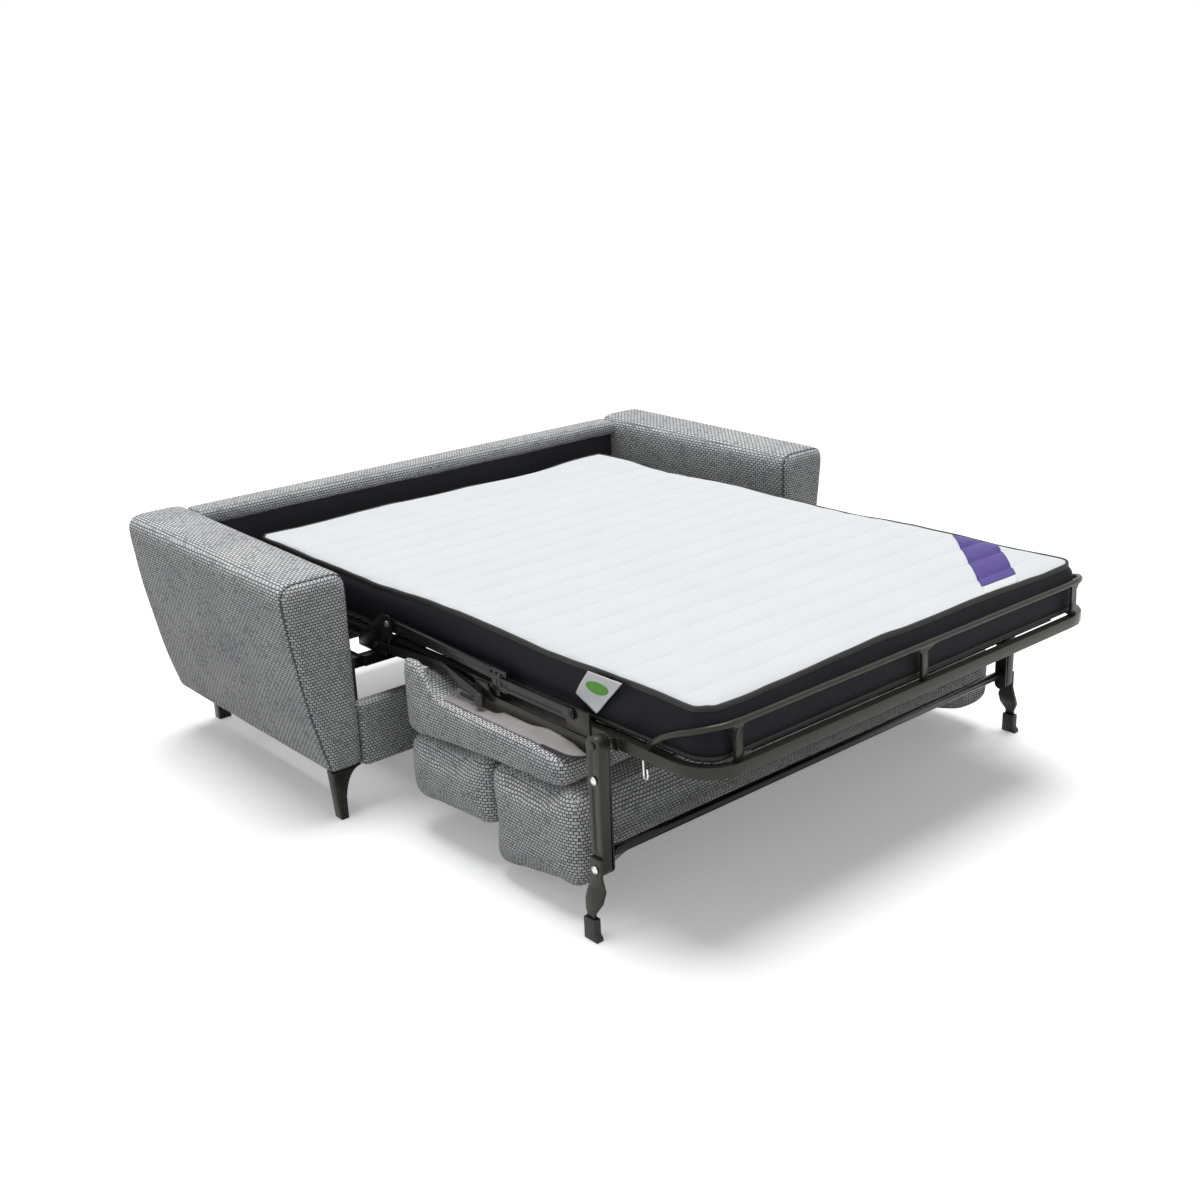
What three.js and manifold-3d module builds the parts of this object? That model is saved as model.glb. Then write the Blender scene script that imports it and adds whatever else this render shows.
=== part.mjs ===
import * as THREE from 'three';
import { mergeVertices } from 'three/addons/utils/BufferGeometryUtils.js';
import Module from 'manifold-3d';

// Sleeper sofa shown with its bed pulled out. Millimetres, +Z up, foot of the bed towards -Y.
// Depths are counted forward from the rear face of the arms, then the whole is centred.

// Mattress and what stands beside it; the sofa is as wide as these make it
const mattressWidth = 1400;
const mattressLength = 1950;
const mattressThickness = 138;
const mattressSetback = 155;
const mattressEdge = 12;
const mattressCornerRadius = 60;
const channelPitch = 98;
const channelDepth = 7;
const armSideGap = 126;
const seam = 0.3;

// Upholstered body
const armTopWidth = 192;
const armFootWidth = 98;
const armDepth = 933;
const armHeight = 706;
const armFrontDrop = 20;
const armUnderside = 141;
const armFlareDrop = 55;
const armEdgeRadius = 24;
const armTopRadius = 46;
const armFlareShares = { out: 0.67, up: 0.41 };
const backThickness = 60;
const rollDepth = 95;
const rollHeight = 49;
const rollTopDrop = 12;
const rollRadius = 22;
const liningThickness = 3;
const liningFootGap = 9;
const railHeightAboveFloor = 132;
const frontRailHeight = 181;
const frontRailThickness = 40;
const frontRailSetback = 5;
const frontRailRadius = 8;

// Blade legs under the arms and plain legs under the back
const bladeTopWidth = 90;
const bladeFootWidth = 22;
const bladeThickness = 34;
const bladeSetback = 12;
const bladeSideGap = 4;
const bladeFootInset = 12;
const bladeNeckHeight = 62;
const bladeNeckWidth = 34;
const rearLegWidth = 40;
const rearLegDepth = 34;
const rearLegFootShare = 0.6;
const rearLegGap = 4;

// Bed frame: one level for all three sections
const frameHeight = 475;
const railWidth = 22;
const railHeight = 28;
const frameInset = 10;
const headGap = 18;
const middleGap = 13;
const netThickness = 4;
const netWire = 5;
const netCellWidth = 140;
const netCellLength = 96;
const footGap = 33;
const footCornerRadius = 90;

// Wooden sides and steel tubes of the base, below the head frame
const boardThickness = 22;
const boardRise = 4;
const baseTube = 30;
const postHeight = 21;
const frontTubeSetback = 93;
const sideTubeSetback = 90;
const sideTubeGap = 4;

// Main pivot between the fixed brackets and the middle section
const pivotForward = 20;
const pivotRise = 47;
const guideSetback = 48;
const guideDrop = 70;
const plate = 5;
const plateGap = 1.7;
const pivotRadius = 5;
const pivotClearance = 0.4;
const boltHeadRadius = 9;
const boltHeadThickness = 2;
const bracketLength = 153;
const bracketEndRadius = 24;
const barEndRadius = 16;
const barFlangeWidth = 12;
const barFlangeThickness = 2.5;
const barFlangeGap = 43;
const endPlateLength = 80;
const endPlateDrop = 24;
const endPlateHoleRadius = 4;
const barFrontRise = 16;

// Double hinge that folds the foot section over the middle section
const middleLength = 490;
const foldRise = 15;
const linkLength = 262;
const linkEndRadius = 15;
const linkPress = { width: 12, depth: 1.5 };
const tabWidth = 46;
const rearFoldReach = { back: 173, front: 100 };

// Hoop that holds the mattress at the foot
const hoopRadius = 11;
const hoopHeight = 90;
const hoopLength = 187;
const hoopSideGap = 3;
const strutWidth = 24;
const strutThickness = 8;
const strutInset = 77;

// Folding legs of the bed
const legGap = 46;
const legDrop = 7;
const legDepth = 26;
const legTopWidth = 46;
const legFootWidth = 36;
const legWall = 3;
const legFootHeight = 148;
const legPress = { width: 14, depth: 1.2 };
const legBoltDrop = 83;
const stayGap = 4;
const crossTubeHeight = 195;
const crossTubeRadius = 12;
const footBarThickness = 8;
const footBarWidth = 26;
const footKneeWidth = 54;
const footBarOverlap = 48;
const footBoltGap = 28;
const footSplay = 20;
const footKneeHeight = 118;
const footAnkleHeight = 66;
const capHeight = 54;
const capWidth = 37;
const capWall = 6;
const capToe = 8;
const wireRadius = 2;
const wireLength = 48;
const wireSpread = 12;
const wireGap = 123;

// Guide bars that steer the seat while the bed is lifted
const guideKneeLength = 308;
const guideKneeRise = 22;
const guideTipLength = 160;
const guideTipDrop = 40;
const guideWidth = 26;
const rollerRadius = 18;
const rollerWidth = 10;
const capScrewRadius = 7;

// Seat and back cushions, folded upside down under the bed
const cushionSideGap = 46;
const cushionEndRadius = 28;
const hornLength = 4;
const seatGap = 129;
const seatLength = 640;
const seatDrop = 75;
const seatRearThickness = 130;
const seatFrontThickness = 78;
const seatLipWidth = 128;
const seatLipHeight = 40;
const seatHornHeight = 88;
const boardSheet = 12;
const boardSetback = 42;
const boardOverhang = 46;
const sidePlateSetback = 82;
const sidePlateNeckWidth = 50;
const sidePlateDrop = 31;
const sidePlateRearHeight = 43;
const sidePlateFrontHeight = 42;
const sidePlateCut = 30;
const backSetback = 6;
const upperBackLength = 346;
const upperBackThickness = 178;
const backGap = 3;
const lowerBackLength = 355;
const lowerBackThickness = 292;
const cushionCrown = 12;
const cushionGap = 0.4;

// Sewn tags on the mattress
const tagWidth = 108;
const tagHeight = 78;
const tagThickness = 1;
const tagGap = 333;
const tagDrop = 61;
const tagTurn = THREE.MathUtils.degToRad(14);
const ribbonWidth = 82;
const ribbonLength = 470;
const ribbonGap = { across: 148, depth: 204 };
const ribbonTurn = THREE.MathUtils.degToRad(47);

// Roundness of curves
const arcSteps = 4;
const roundSides = 16;
const wireSides = 6;
const overrun = 20;

const wasm = await Module();
wasm.setup();

// Widths, counted from the middle plane
const frameOuter = mattressWidth / 2 + railWidth;
const innerHalf = mattressWidth / 2 + armSideGap;
const inboardPlate = frameOuter + seam;
const outboardPlate = inboardPlate + plate + plateGap;
const guidePlace = outboardPlate + plate + boltHeadThickness + plateGap;
const boardInner = innerHalf - seam - boardThickness;
const stayPlace = guidePlace + plate + plateGap;
const legPlace = stayPlace + plate + stayGap + legDepth / 2;
const legOuter = legPlace + legDepth / 2;
const cushionHalfLength = innerHalf - cushionSideGap;

// Heights
const frameTop = frameHeight;
const frameFoot = frameTop - railHeight;
const mattressTop = frameTop + mattressThickness;
const baseTubeTop = frameFoot - postHeight;
const baseTubeUnderside = baseTubeTop - baseTube;
const rollTop = armHeight - rollTopDrop;
const rollUnderside = rollTop - rollHeight;
const seatTop = frameTop - seatDrop;

// Depths, counted forward from the rear face of the arms
const mattressEnd = mattressSetback + mattressLength;
const mainPivot = { depth: armDepth + pivotForward, height: frameTop + pivotRise };
const guidePivot = { depth: mainPivot.depth - guideSetback, height: mainPivot.height - guideDrop };
const guideKnee = { depth: guidePivot.depth + guideKneeLength, height: guidePivot.height + guideKneeRise };
const guideTip = { depth: guideKnee.depth + guideTipLength, height: guideKnee.height - guideTipDrop };
const foldPivot = { depth: mainPivot.depth + middleLength, height: frameTop + foldRise };
const foldEnd = { depth: foldPivot.depth + linkLength, height: foldPivot.height };
const headStart = mattressSetback + frameInset;
const headEnd = mainPivot.depth - headGap;
const middleStart = mainPivot.depth + middleGap;
const middleEnd = foldPivot.depth - headGap;
const footEnd = mattressEnd + footGap;
const hoopCentre = footEnd - hoopRadius;
const hoopStart = footEnd - hoopLength;
const frontTubeDepth = mainPivot.depth - frontTubeSetback;
const seatStart = mainPivot.depth + seatGap;
const seatEnd = seatStart + seatLength;
const upperBackStart = seatStart + backSetback;
const upperBackEnd = upperBackStart + upperBackLength;
const lowerBackStart = upperBackEnd + backGap;
const lowerBackEnd = lowerBackStart + lowerBackLength;
const legPivot = { depth: lowerBackEnd + legGap, height: frameTop - legDrop };
const footBarTop = legFootHeight + footBarOverlap;
const legBoltHeights = [legPivot.height - legBoltDrop, footBarTop - footBoltGap];

// Materials as seen: woven upholstery, lacquered steel, cloth, foam cover and plastic
const finish = (color, roughness, metalness = 0) =>
  new THREE.MeshStandardMaterial({ color, roughness, metalness });
const weave = finish(0x8d9092, 0.95);
const lining = finish(0x17171b, 0.9);
const underCloth = finish(0x77716c, 0.95);
const lacquer = finish(0x24241f, 0.35, 0.7);
const olive = finish(0x4d4a40, 0.35, 0.8);
const zinc = finish(0xb8b8b4, 0.3, 1);
const wood = finish(0xb08a5a, 0.7);
const cover = finish(0xeceff1, 0.9);
const plastic = finish(0x141414, 0.6);
const violet = finish(0x4b3a93, 0.6);
const paper = finish(0xe4e8ea, 0.7);

const sofa = new THREE.Group();

function addPiece(name, geometry, material) {
  const mesh = new THREE.Mesh(geometry, material);
  mesh.name = name;
  sofa.add(mesh);
}

// Left and right pieces mirror each other about the middle plane
function mirrored(geometry) {
  const copy = geometry.index ? geometry.toNonIndexed() : geometry.clone();
  const places = copy.attributes.position;
  for (let corner = 0; corner < places.count; corner += 3) {
    const first = new THREE.Vector3().fromBufferAttribute(places, corner);
    const last = new THREE.Vector3().fromBufferAttribute(places, corner + 2);
    places.setXYZ(corner, last.x, last.y, last.z);
    places.setXYZ(corner + 2, first.x, first.y, first.z);
  }
  const flipped = new THREE.BufferGeometry();
  flipped.setAttribute('position', places);
  for (let corner = 0; corner < places.count; corner += 1) {
    places.setX(corner, -places.getX(corner));
  }
  return flipped;
}

function addPair(name, rightGeometry, material) {
  addPiece(`${name}_right`, rightGeometry, material);
  addPiece(`${name}_left`, mirrored(rightGeometry), material);
}

// Solids for cutting and joining
function toSolid(geometry) {
  const bare = geometry.clone();
  bare.deleteAttribute('normal');
  bare.deleteAttribute('uv');
  const merged = mergeVertices(bare);
  const vertProperties = new Float32Array(merged.attributes.position.array);
  const triVerts = new Uint32Array(merged.index.array);
  return new wasm.Manifold(new wasm.Mesh({ numProp: 3, vertProperties, triVerts }));
}

function toGeometry(solid) {
  const mesh = solid.getMesh();
  const geometry = new THREE.BufferGeometry();
  geometry.setAttribute('position', new THREE.BufferAttribute(new Float32Array(mesh.vertProperties), 3));
  geometry.setIndex(new THREE.BufferAttribute(new Uint32Array(mesh.triVerts), 1));
  return geometry;
}

function joined(...geometries) {
  const solids = geometries.map(toSolid);
  return toGeometry(solids.reduce((whole, solid) => whole.add(solid)));
}

function cut(geometry, ...tools) {
  const start = toSolid(geometry);
  return toGeometry(tools.map(toSolid).reduce((whole, tool) => whole.subtract(tool), start));
}

function common(first, second) {
  return toGeometry(toSolid(first).intersect(toSolid(second)));
}

// A box between limits: across X, forward from the rear, and up
function block(acrossFrom, acrossTo, depthFrom, depthTo, low, high) {
  const geometry = new THREE.BoxGeometry(acrossTo - acrossFrom, depthTo - depthFrom, high - low);
  const across = (acrossFrom + acrossTo) / 2;
  return geometry.translate(across, -(depthFrom + depthTo) / 2, (low + high) / 2);
}

// A profile of depth and height, extruded across the sofa
function acrossExtrude(shape, from, to, round = 0) {
  const geometry = new THREE.ExtrudeGeometry(shape, {
    depth: to - from - 2 * round,
    bevelEnabled: round > 0,
    bevelThickness: round,
    bevelSize: round,
    bevelOffset: -round,
    bevelSegments: 2,
    curveSegments: arcSteps,
  });
  geometry.translate(0, 0, from + round);
  const turn = new THREE.Matrix4().set(0, 0, 1, 0, -1, 0, 0, 0, 0, 1, 0, 0, 0, 0, 0, 1);
  return mirrorWinding(geometry.applyMatrix4(turn));
}

// Turning depth into -Y is a reflection, so the corner order of each face is swapped
function mirrorWinding(geometry) {
  const plain = geometry.index ? geometry.toNonIndexed() : geometry;
  const places = plain.attributes.position;
  for (let corner = 0; corner < places.count; corner += 3) {
    const first = new THREE.Vector3().fromBufferAttribute(places, corner);
    const last = new THREE.Vector3().fromBufferAttribute(places, corner + 2);
    places.setXYZ(corner, last.x, last.y, last.z);
    places.setXYZ(corner + 2, first.x, first.y, first.z);
  }
  const swapped = new THREE.BufferGeometry();
  swapped.setAttribute('position', places);
  return swapped;
}

function outlineShape(points) {
  return new THREE.Shape(points.map(([depth, height]) => new THREE.Vector2(depth, height)));
}

// A flat bar with round ends around two places given as depth and height
function barShape(start, end, startRadius, endRadius) {
  const heading = Math.atan2(end.height - start.height, end.depth - start.depth);
  const shape = new THREE.Shape();
  const quarter = Math.PI / 2;
  shape.absarc(end.depth, end.height, endRadius, heading - quarter, heading + quarter, false);
  shape.absarc(start.depth, start.height, startRadius, heading + quarter, heading + 3 * quarter, false);
  shape.closePath();
  return shape;
}

function bar(start, end, startRadius, endRadius, from, to) {
  return acrossExtrude(barShape(start, end, startRadius, endRadius), from, to);
}

// A round pin lying across the sofa
function pin(place, radius, from, to) {
  const geometry = new THREE.CylinderGeometry(radius, radius, to - from, roundSides);
  geometry.rotateZ(Math.PI / 2);
  return geometry.translate((from + to) / 2, -place.depth, place.height);
}

function boltThrough(place, from, to) {
  return joined(
    pin(place, pivotRadius, from, to),
    pin(place, boltHeadRadius, from - boltHeadThickness, from),
    pin(place, boltHeadRadius, to, to + boltHeadThickness),
  );
}

function boltHole(place, from, to) {
  return pin(place, pivotRadius + pivotClearance, from - overrun, to + overrun);
}

// The arm narrows towards its foot on the outside, and its top falls towards the front
function arm() {
  const height = armHeight - armUnderside;
  const flare = armTopWidth - armFootWidth;
  const flareHeight = height - armFlareDrop;
  const control = {
    out: armFootWidth + flare * armFlareShares.out,
    up: flareHeight * armFlareShares.up,
  };
  const shape = new THREE.Shape();
  shape.moveTo(0, 0);
  shape.lineTo(armFootWidth, 0);
  shape.quadraticCurveTo(control.out, control.up, armTopWidth, flareHeight);
  shape.lineTo(armTopWidth, height - armTopRadius);
  shape.quadraticCurveTo(armTopWidth, height, armTopWidth - armTopRadius, height);
  shape.lineTo(armTopRadius, height);
  shape.quadraticCurveTo(0, height, 0, height - armTopRadius);
  shape.closePath();
  const geometry = new THREE.ExtrudeGeometry(shape, {
    depth: armDepth - 2 * armEdgeRadius,
    bevelThickness: armEdgeRadius,
    bevelSize: armEdgeRadius,
    bevelOffset: -armEdgeRadius,
    bevelSegments: 3,
    curveSegments: 2 * arcSteps,
  });
  geometry.translate(0, 0, armEdgeRadius);
  geometry.rotateX(Math.PI / 2);
  geometry.translate(innerHalf, 0, armUnderside);
  const places = geometry.attributes.position;
  for (let corner = 0; corner < places.count; corner += 1) {
    const rise = (places.getZ(corner) - armUnderside) / height;
    const forward = -places.getY(corner) / armDepth;
    places.setZ(corner, places.getZ(corner) - armFrontDrop * rise * forward);
  }
  return geometry;
}

// Rear wall with its padded roll on top, hollow-backed lining in front of it
function back() {
  const shape = new THREE.Shape();
  shape.moveTo(0, armUnderside);
  shape.lineTo(backThickness, armUnderside);
  shape.lineTo(backThickness, rollUnderside);
  shape.lineTo(rollDepth - rollRadius, rollUnderside);
  shape.quadraticCurveTo(rollDepth, rollUnderside, rollDepth, rollUnderside + rollRadius);
  shape.lineTo(rollDepth, rollTop - rollRadius);
  shape.quadraticCurveTo(rollDepth, rollTop, rollDepth - rollRadius, rollTop);
  shape.lineTo(rollRadius, rollTop);
  shape.quadraticCurveTo(0, rollTop, 0, rollTop - rollRadius);
  shape.closePath();
  return acrossExtrude(shape, seam - innerHalf, innerHalf - seam);
}

function frontRail() {
  const front = armDepth - frontRailSetback;
  const railTop = railHeightAboveFloor + frontRailHeight;
  const shape = outlineShape([
    [front - frontRailThickness, railHeightAboveFloor],
    [front, railHeightAboveFloor],
    [front, railTop],
    [front - frontRailThickness, railTop],
  ]);
  return acrossExtrude(shape, seam - innerHalf, innerHalf - seam, frontRailRadius);
}

// A blade leg is a flat plate across the front of the arm, cut away on its inner side
function bladeLeg() {
  const outer = innerHalf + armFootWidth - bladeSideGap;
  const inner = outer - bladeTopWidth;
  const foot = outer - bladeFootInset;
  const top = armUnderside - seam;
  const shape = new THREE.Shape();
  shape.moveTo(foot - bladeFootWidth, 0);
  shape.lineTo(foot, 0);
  shape.lineTo(outer, top);
  shape.lineTo(inner, top);
  shape.quadraticCurveTo(outer - bladeNeckWidth - bladeFootInset, top, outer - bladeNeckWidth, bladeNeckHeight);
  shape.closePath();
  const geometry = new THREE.ExtrudeGeometry(shape, {
    depth: bladeThickness, bevelEnabled: false, curveSegments: 2 * arcSteps,
  });
  geometry.rotateX(Math.PI / 2);
  return geometry.translate(0, bladeThickness - armDepth + bladeSetback, 0);
}

function rearLeg() {
  const geometry = new THREE.BoxGeometry(rearLegWidth, rearLegDepth, armUnderside - seam);
  geometry.translate(0, 0, (armUnderside - seam) / 2);
  const places = geometry.attributes.position;
  for (let corner = 0; corner < places.count; corner += 1) {
    if (places.getZ(corner) > 0) continue;
    places.setX(corner, places.getX(corner) * rearLegFootShare);
    places.setY(corner, places.getY(corner) * rearLegFootShare);
  }
  const across = innerHalf - rearLegWidth / 2 - rearLegGap;
  return geometry.translate(across, -rearLegDepth / 2 - rearLegGap, 0);
}

// A flat plate made of the filled cells of a grid, closed all round
function gridPlate(acrossLines, depthLines, isFilled, low, high) {
  const faces = [];
  const corner = (column, row, height) => [acrossLines[column], -depthLines[row], height];
  const quad = (a, b, c, d) => faces.push(...a, ...b, ...c, ...a, ...c, ...d);
  const filled = (column, row) => column >= 0 && row >= 0
    && column < acrossLines.length - 1 && row < depthLines.length - 1 && isFilled(column, row);
  for (let column = 0; column < acrossLines.length - 1; column += 1) {
    for (let row = 0; row < depthLines.length - 1; row += 1) {
      if (!filled(column, row)) continue;
      const plan = [[0, 0], [0, 1], [1, 1], [1, 0]];
      const [a, b, c, d] = plan.map(([right, on]) => corner(column + right, row + on, high));
      const [e, f, g, h] = plan.map(([right, on]) => corner(column + right, row + on, low));
      quad(a, b, c, d);
      quad(e, h, g, f);
      if (!filled(column - 1, row)) quad(a, e, f, b);
      if (!filled(column, row + 1)) quad(b, f, g, c);
      if (!filled(column + 1, row)) quad(c, g, h, d);
      if (!filled(column, row - 1)) quad(d, h, e, a);
    }
  }
  const geometry = new THREE.BufferGeometry();
  geometry.setAttribute('position', new THREE.Float32BufferAttribute(faces, 3));
  return geometry;
}

// A flat net of wires; the outer cells of its last row can be left away for a round corner
function net(depthFrom, depthTo, openCorners = false) {
  const across = mattressWidth / 2 - seam;
  const columns = Math.round((2 * across) / netCellWidth);
  const rows = Math.round((depthTo - depthFrom) / netCellLength);
  const lines = (from, to, count) => Array.from({ length: count + 1 }, (unused, index) => {
    const start = from + (index * (to - from - netWire)) / count;
    return [start, start + netWire];
  }).flat();
  const isWire = (column, row) => {
    const isGap = column % 2 === 1 && row % 2 === 1;
    const isOuter = column < 2 || column > 2 * columns - 2;
    const isCut = openCorners && isOuter && row > 2 * rows - 2;
    return !isGap && !isCut;
  };
  return gridPlate(
    lines(-across, across, columns), lines(depthFrom, depthTo, rows), isWire,
    frameTop - netThickness, frameTop,
  );
}

// Two side rails and two cross tubes, the tubes lower by the net that lies on them
function frameOf(depthFrom, depthTo) {
  const inner = mattressWidth / 2;
  const tubeTop = frameTop - netThickness - seam;
  return [
    block(inner, frameOuter, depthFrom, depthTo, frameFoot, frameTop),
    block(-frameOuter, -inner, depthFrom, depthTo, frameFoot, frameTop),
    block(-inner - seam, inner + seam, depthFrom, depthFrom + railWidth, frameFoot, tubeTop),
    block(-inner - seam, inner + seam, depthTo - railWidth, depthTo, frameFoot, tubeTop),
  ];
}

// The head frame stands on the base tubes with four short posts
function headFrame() {
  const inner = mattressWidth / 2;
  const low = baseTubeTop + seam;
  const posts = [];
  for (const depth of [headStart, frontTubeDepth]) {
    posts.push(block(inner, frameOuter, depth, depth + baseTube - seam, low, frameFoot + seam));
    posts.push(block(-frameOuter, -inner, depth, depth + baseTube - seam, low, frameFoot + seam));
  }
  return joined(...frameOf(headStart, headEnd), ...posts);
}

// The fixed bracket rises from the front tube to the main pivot
function hingeBracket() {
  const low = baseTubeTop + seam;
  const shape = outlineShape([
    [mainPivot.depth - bracketLength, low],
    [guidePivot.depth + bracketEndRadius, low],
    [mainPivot.depth + bracketEndRadius, mainPivot.height - bracketEndRadius / 2],
    [mainPivot.depth + bracketEndRadius / 2, mainPivot.height + bracketEndRadius],
    [mainPivot.depth - bracketEndRadius, mainPivot.height + bracketEndRadius],
    [mainPivot.depth - bracketLength, low + bracketEndRadius],
  ]);
  const body = acrossExtrude(shape, outboardPlate, outboardPlate + plate);
  return cut(
    body,
    boltHole(mainPivot, outboardPlate, outboardPlate + plate),
    boltHole(guidePivot, outboardPlate, outboardPlate + plate),
  );
}

// The upper bar runs from the main pivot to a deep end plate with three small holes
function upperBar() {
  const rear = { depth: mainPivot.depth, height: mainPivot.height };
  const front = { depth: foldPivot.depth, height: foldPivot.height + barFrontRise };
  const to = inboardPlate + plate;
  const long = bar(rear, front, barEndRadius, barEndRadius, inboardPlate, to);
  const half = endPlateLength / 2;
  const flange = bar(
    { depth: rear.depth + barFlangeGap, height: rear.height + barEndRadius - barFlangeThickness / 2 - seam },
    { depth: front.depth - barFlangeGap, height: front.height + barEndRadius - barFlangeThickness / 2 - seam },
    barFlangeThickness / 2, barFlangeThickness / 2, inboardPlate, inboardPlate + barFlangeWidth,
  );
  const end = block(
    inboardPlate, to,
    foldPivot.depth - half, foldPivot.depth + half / 2,
    foldPivot.height - endPlateDrop, foldPivot.height + barFrontRise + barEndRadius,
  );
  const holes = [0, 1, 2].map((place) => pin(
    { depth: foldPivot.depth - half / 2 + (place - 1) * half / 2, height: front.height + endPlateHoleRadius },
    endPlateHoleRadius, inboardPlate - overrun, to + overrun,
  ));
  return cut(
    joined(long, end, flange), ...holes,
    boltHole(mainPivot, inboardPlate, to), boltHole(foldPivot, inboardPlate, to),
  );
}

// The link arm carries a riveted pin at each end
function linkArm() {
  const to = outboardPlate + plate;
  const plain = bar(foldPivot, foldEnd, linkEndRadius, linkEndRadius, outboardPlate, to);
  const near = { depth: foldPivot.depth + 2 * linkEndRadius, height: foldPivot.height };
  const far = { depth: foldEnd.depth - 2 * linkEndRadius, height: foldEnd.height };
  const press = linkPress.width / 2;
  const arm = cut(plain, bar(near, far, press, press, to - linkPress.depth, to + overrun));
  const pins = [foldPivot, foldEnd].flatMap((place) => [
    pin(place, pivotRadius, inboardPlate, to),
    pin(place, boltHeadRadius, to, to + boltHeadThickness),
  ]);
  return joined(arm, ...pins);
}

// Foot frame: a rail bent round both corners, cross tube, hinge tabs and leg bosses
class FootPath extends THREE.Curve {
  getPoint(share) {
    const straight = hoopCentre - footCornerRadius - foldEnd.depth - linkEndRadius;
    const bend = (Math.PI / 2) * footCornerRadius;
    const half = frameOuter - railWidth / 2;
    const across = 2 * (half - footCornerRadius);
    const total = 2 * straight + 2 * bend + across;
    const run = share * total;
    const corner = hoopCentre - footCornerRadius;
    const target = new THREE.Vector3(0, 0, frameTop - railHeight / 2);
    if (run < straight) return target.setX(-half).setY(-corner + straight - run);
    if (run > total - straight) return target.setX(half).setY(-corner + run - total + straight);
    if (run < straight + bend) {
      const angle = (run - straight) / footCornerRadius;
      target.setX(footCornerRadius - half - footCornerRadius * Math.cos(angle));
      return target.setY(-corner - footCornerRadius * Math.sin(angle));
    }
    if (run > total - straight - bend) {
      const angle = (total - straight - run) / footCornerRadius;
      target.setX(half - footCornerRadius + footCornerRadius * Math.cos(angle));
      return target.setY(-corner - footCornerRadius * Math.sin(angle));
    }
    return target.setX(run - straight - bend - half + footCornerRadius).setY(-hoopCentre);
  }
}

function footRail() {
  const section = new THREE.Shape();
  section.moveTo(-railHeight / 2, -railWidth / 2);
  section.lineTo(railHeight / 2, -railWidth / 2);
  section.lineTo(railHeight / 2, railWidth / 2);
  section.lineTo(-railHeight / 2, railWidth / 2);
  section.closePath();
  return new THREE.ExtrudeGeometry(section, {
    steps: roundSides * arcSteps, bevelEnabled: false, extrudePath: new FootPath(),
  });
}

function footFrame() {
  const inner = mattressWidth / 2;
  const start = foldEnd.depth + linkEndRadius;
  const tubeTop = frameTop - netThickness - seam;
  const pieces = [
    footRail(),
    block(-inner - seam, inner + seam, start, start + railWidth, frameFoot, tubeTop),
  ];
  for (const side of [-1, 1]) {
    const from = side > 0 ? frameOuter - seam : -inboardPlate - plate;
    const to = side > 0 ? inboardPlate + plate : seam - frameOuter;
    const tab = block(
      from, to, foldEnd.depth - tabWidth / 2, start + tabWidth,
      frameFoot, foldEnd.height + linkEndRadius,
    );
    pieces.push(cut(tab, boltHole(foldEnd, from, to)));
    const low = legPivot.height - legTopWidth / 2;
    const legTab = block(from, to, legPivot.depth - tabWidth / 2, legPivot.depth + tabWidth / 2, low, frameTop);
    const boss = side > 0
      ? pin(legPivot, boltHeadRadius, to - seam, stayPlace - seam)
      : pin(legPivot, boltHeadRadius, seam - stayPlace, from + seam);
    pieces.push(legTab, boss);
  }
  return joined(...pieces);
}

// Hoop tube rising from the rails and running over the foot of the mattress
class HoopPath extends THREE.Curve {
  constructor() {
    super();
    const side = mattressWidth / 2 + hoopRadius + hoopSideGap;
    const level = frameTop + hoopHeight;
    const half = [
      [side, hoopStart, frameTop + hoopRadius + seam],
      [side, hoopStart + hoopHeight / 2, frameTop + hoopHeight / 2],
      [side - hoopRadius / 2, hoopCentre - footCornerRadius / 2, level - hoopRadius],
      [side - footCornerRadius / 2, hoopCentre - hoopRadius / 2, level],
      [side - footCornerRadius, hoopCentre, level],
      [side / 2, hoopCentre, level],
    ];
    const right = half.map(([across, depth, height]) => new THREE.Vector3(across, -depth, height));
    const left = right.map((place) => place.clone().setX(-place.x)).reverse();
    this.route = new THREE.CatmullRomCurve3([...right, ...left], false, 'centripetal');
  }

  getPoint(share) {
    return this.route.getPoint(share);
  }
}

function hoop() {
  const section = new THREE.Shape();
  section.absarc(0, 0, hoopRadius, 0, 2 * Math.PI, false);
  const tube = new THREE.ExtrudeGeometry(section, {
    steps: 2 * roundSides, curveSegments: arcSteps, bevelEnabled: false, extrudePath: new HoopPath(),
  });
  const strutPlace = mattressWidth / 2 - strutInset;
  const struts = [-strutPlace, 0, strutPlace].map((across) => block(
    across - strutWidth / 2, across + strutWidth / 2,
    hoopCentre - strutThickness / 2, hoopCentre + strutThickness / 2,
    frameTop + seam, frameTop + hoopHeight,
  ));
  return joined(tube, ...struts);
}

// A bed leg is a pressed channel, open on its inner side
function bedLeg() {
  const from = legPlace - legDepth / 2;
  const to = legPlace + legDepth / 2;
  const foot = { depth: legPivot.depth, height: legFootHeight + legFootWidth / 2 };
  const body = bar(legPivot, foot, legTopWidth / 2, legFootWidth / 2, from, to);
  const hollow = bar(
    legPivot, foot, legTopWidth / 2 - legWall, legFootWidth / 2 - legWall, from - overrun, to - legWall,
  );
  const [upper, lower] = legBoltHeights;
  const press = bar(
    { depth: legPivot.depth, height: upper - legTopWidth / 2 },
    { depth: legPivot.depth, height: footBarTop + legTopWidth / 2 },
    legPress.width / 2, legPress.width / 2, to - legPress.depth, to + overrun,
  );
  const holes = [legPivot.height, upper, lower].map((height) =>
    boltHole({ depth: legPivot.depth, height }, from, to));
  return cut(body, hollow, press, ...holes);
}

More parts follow.
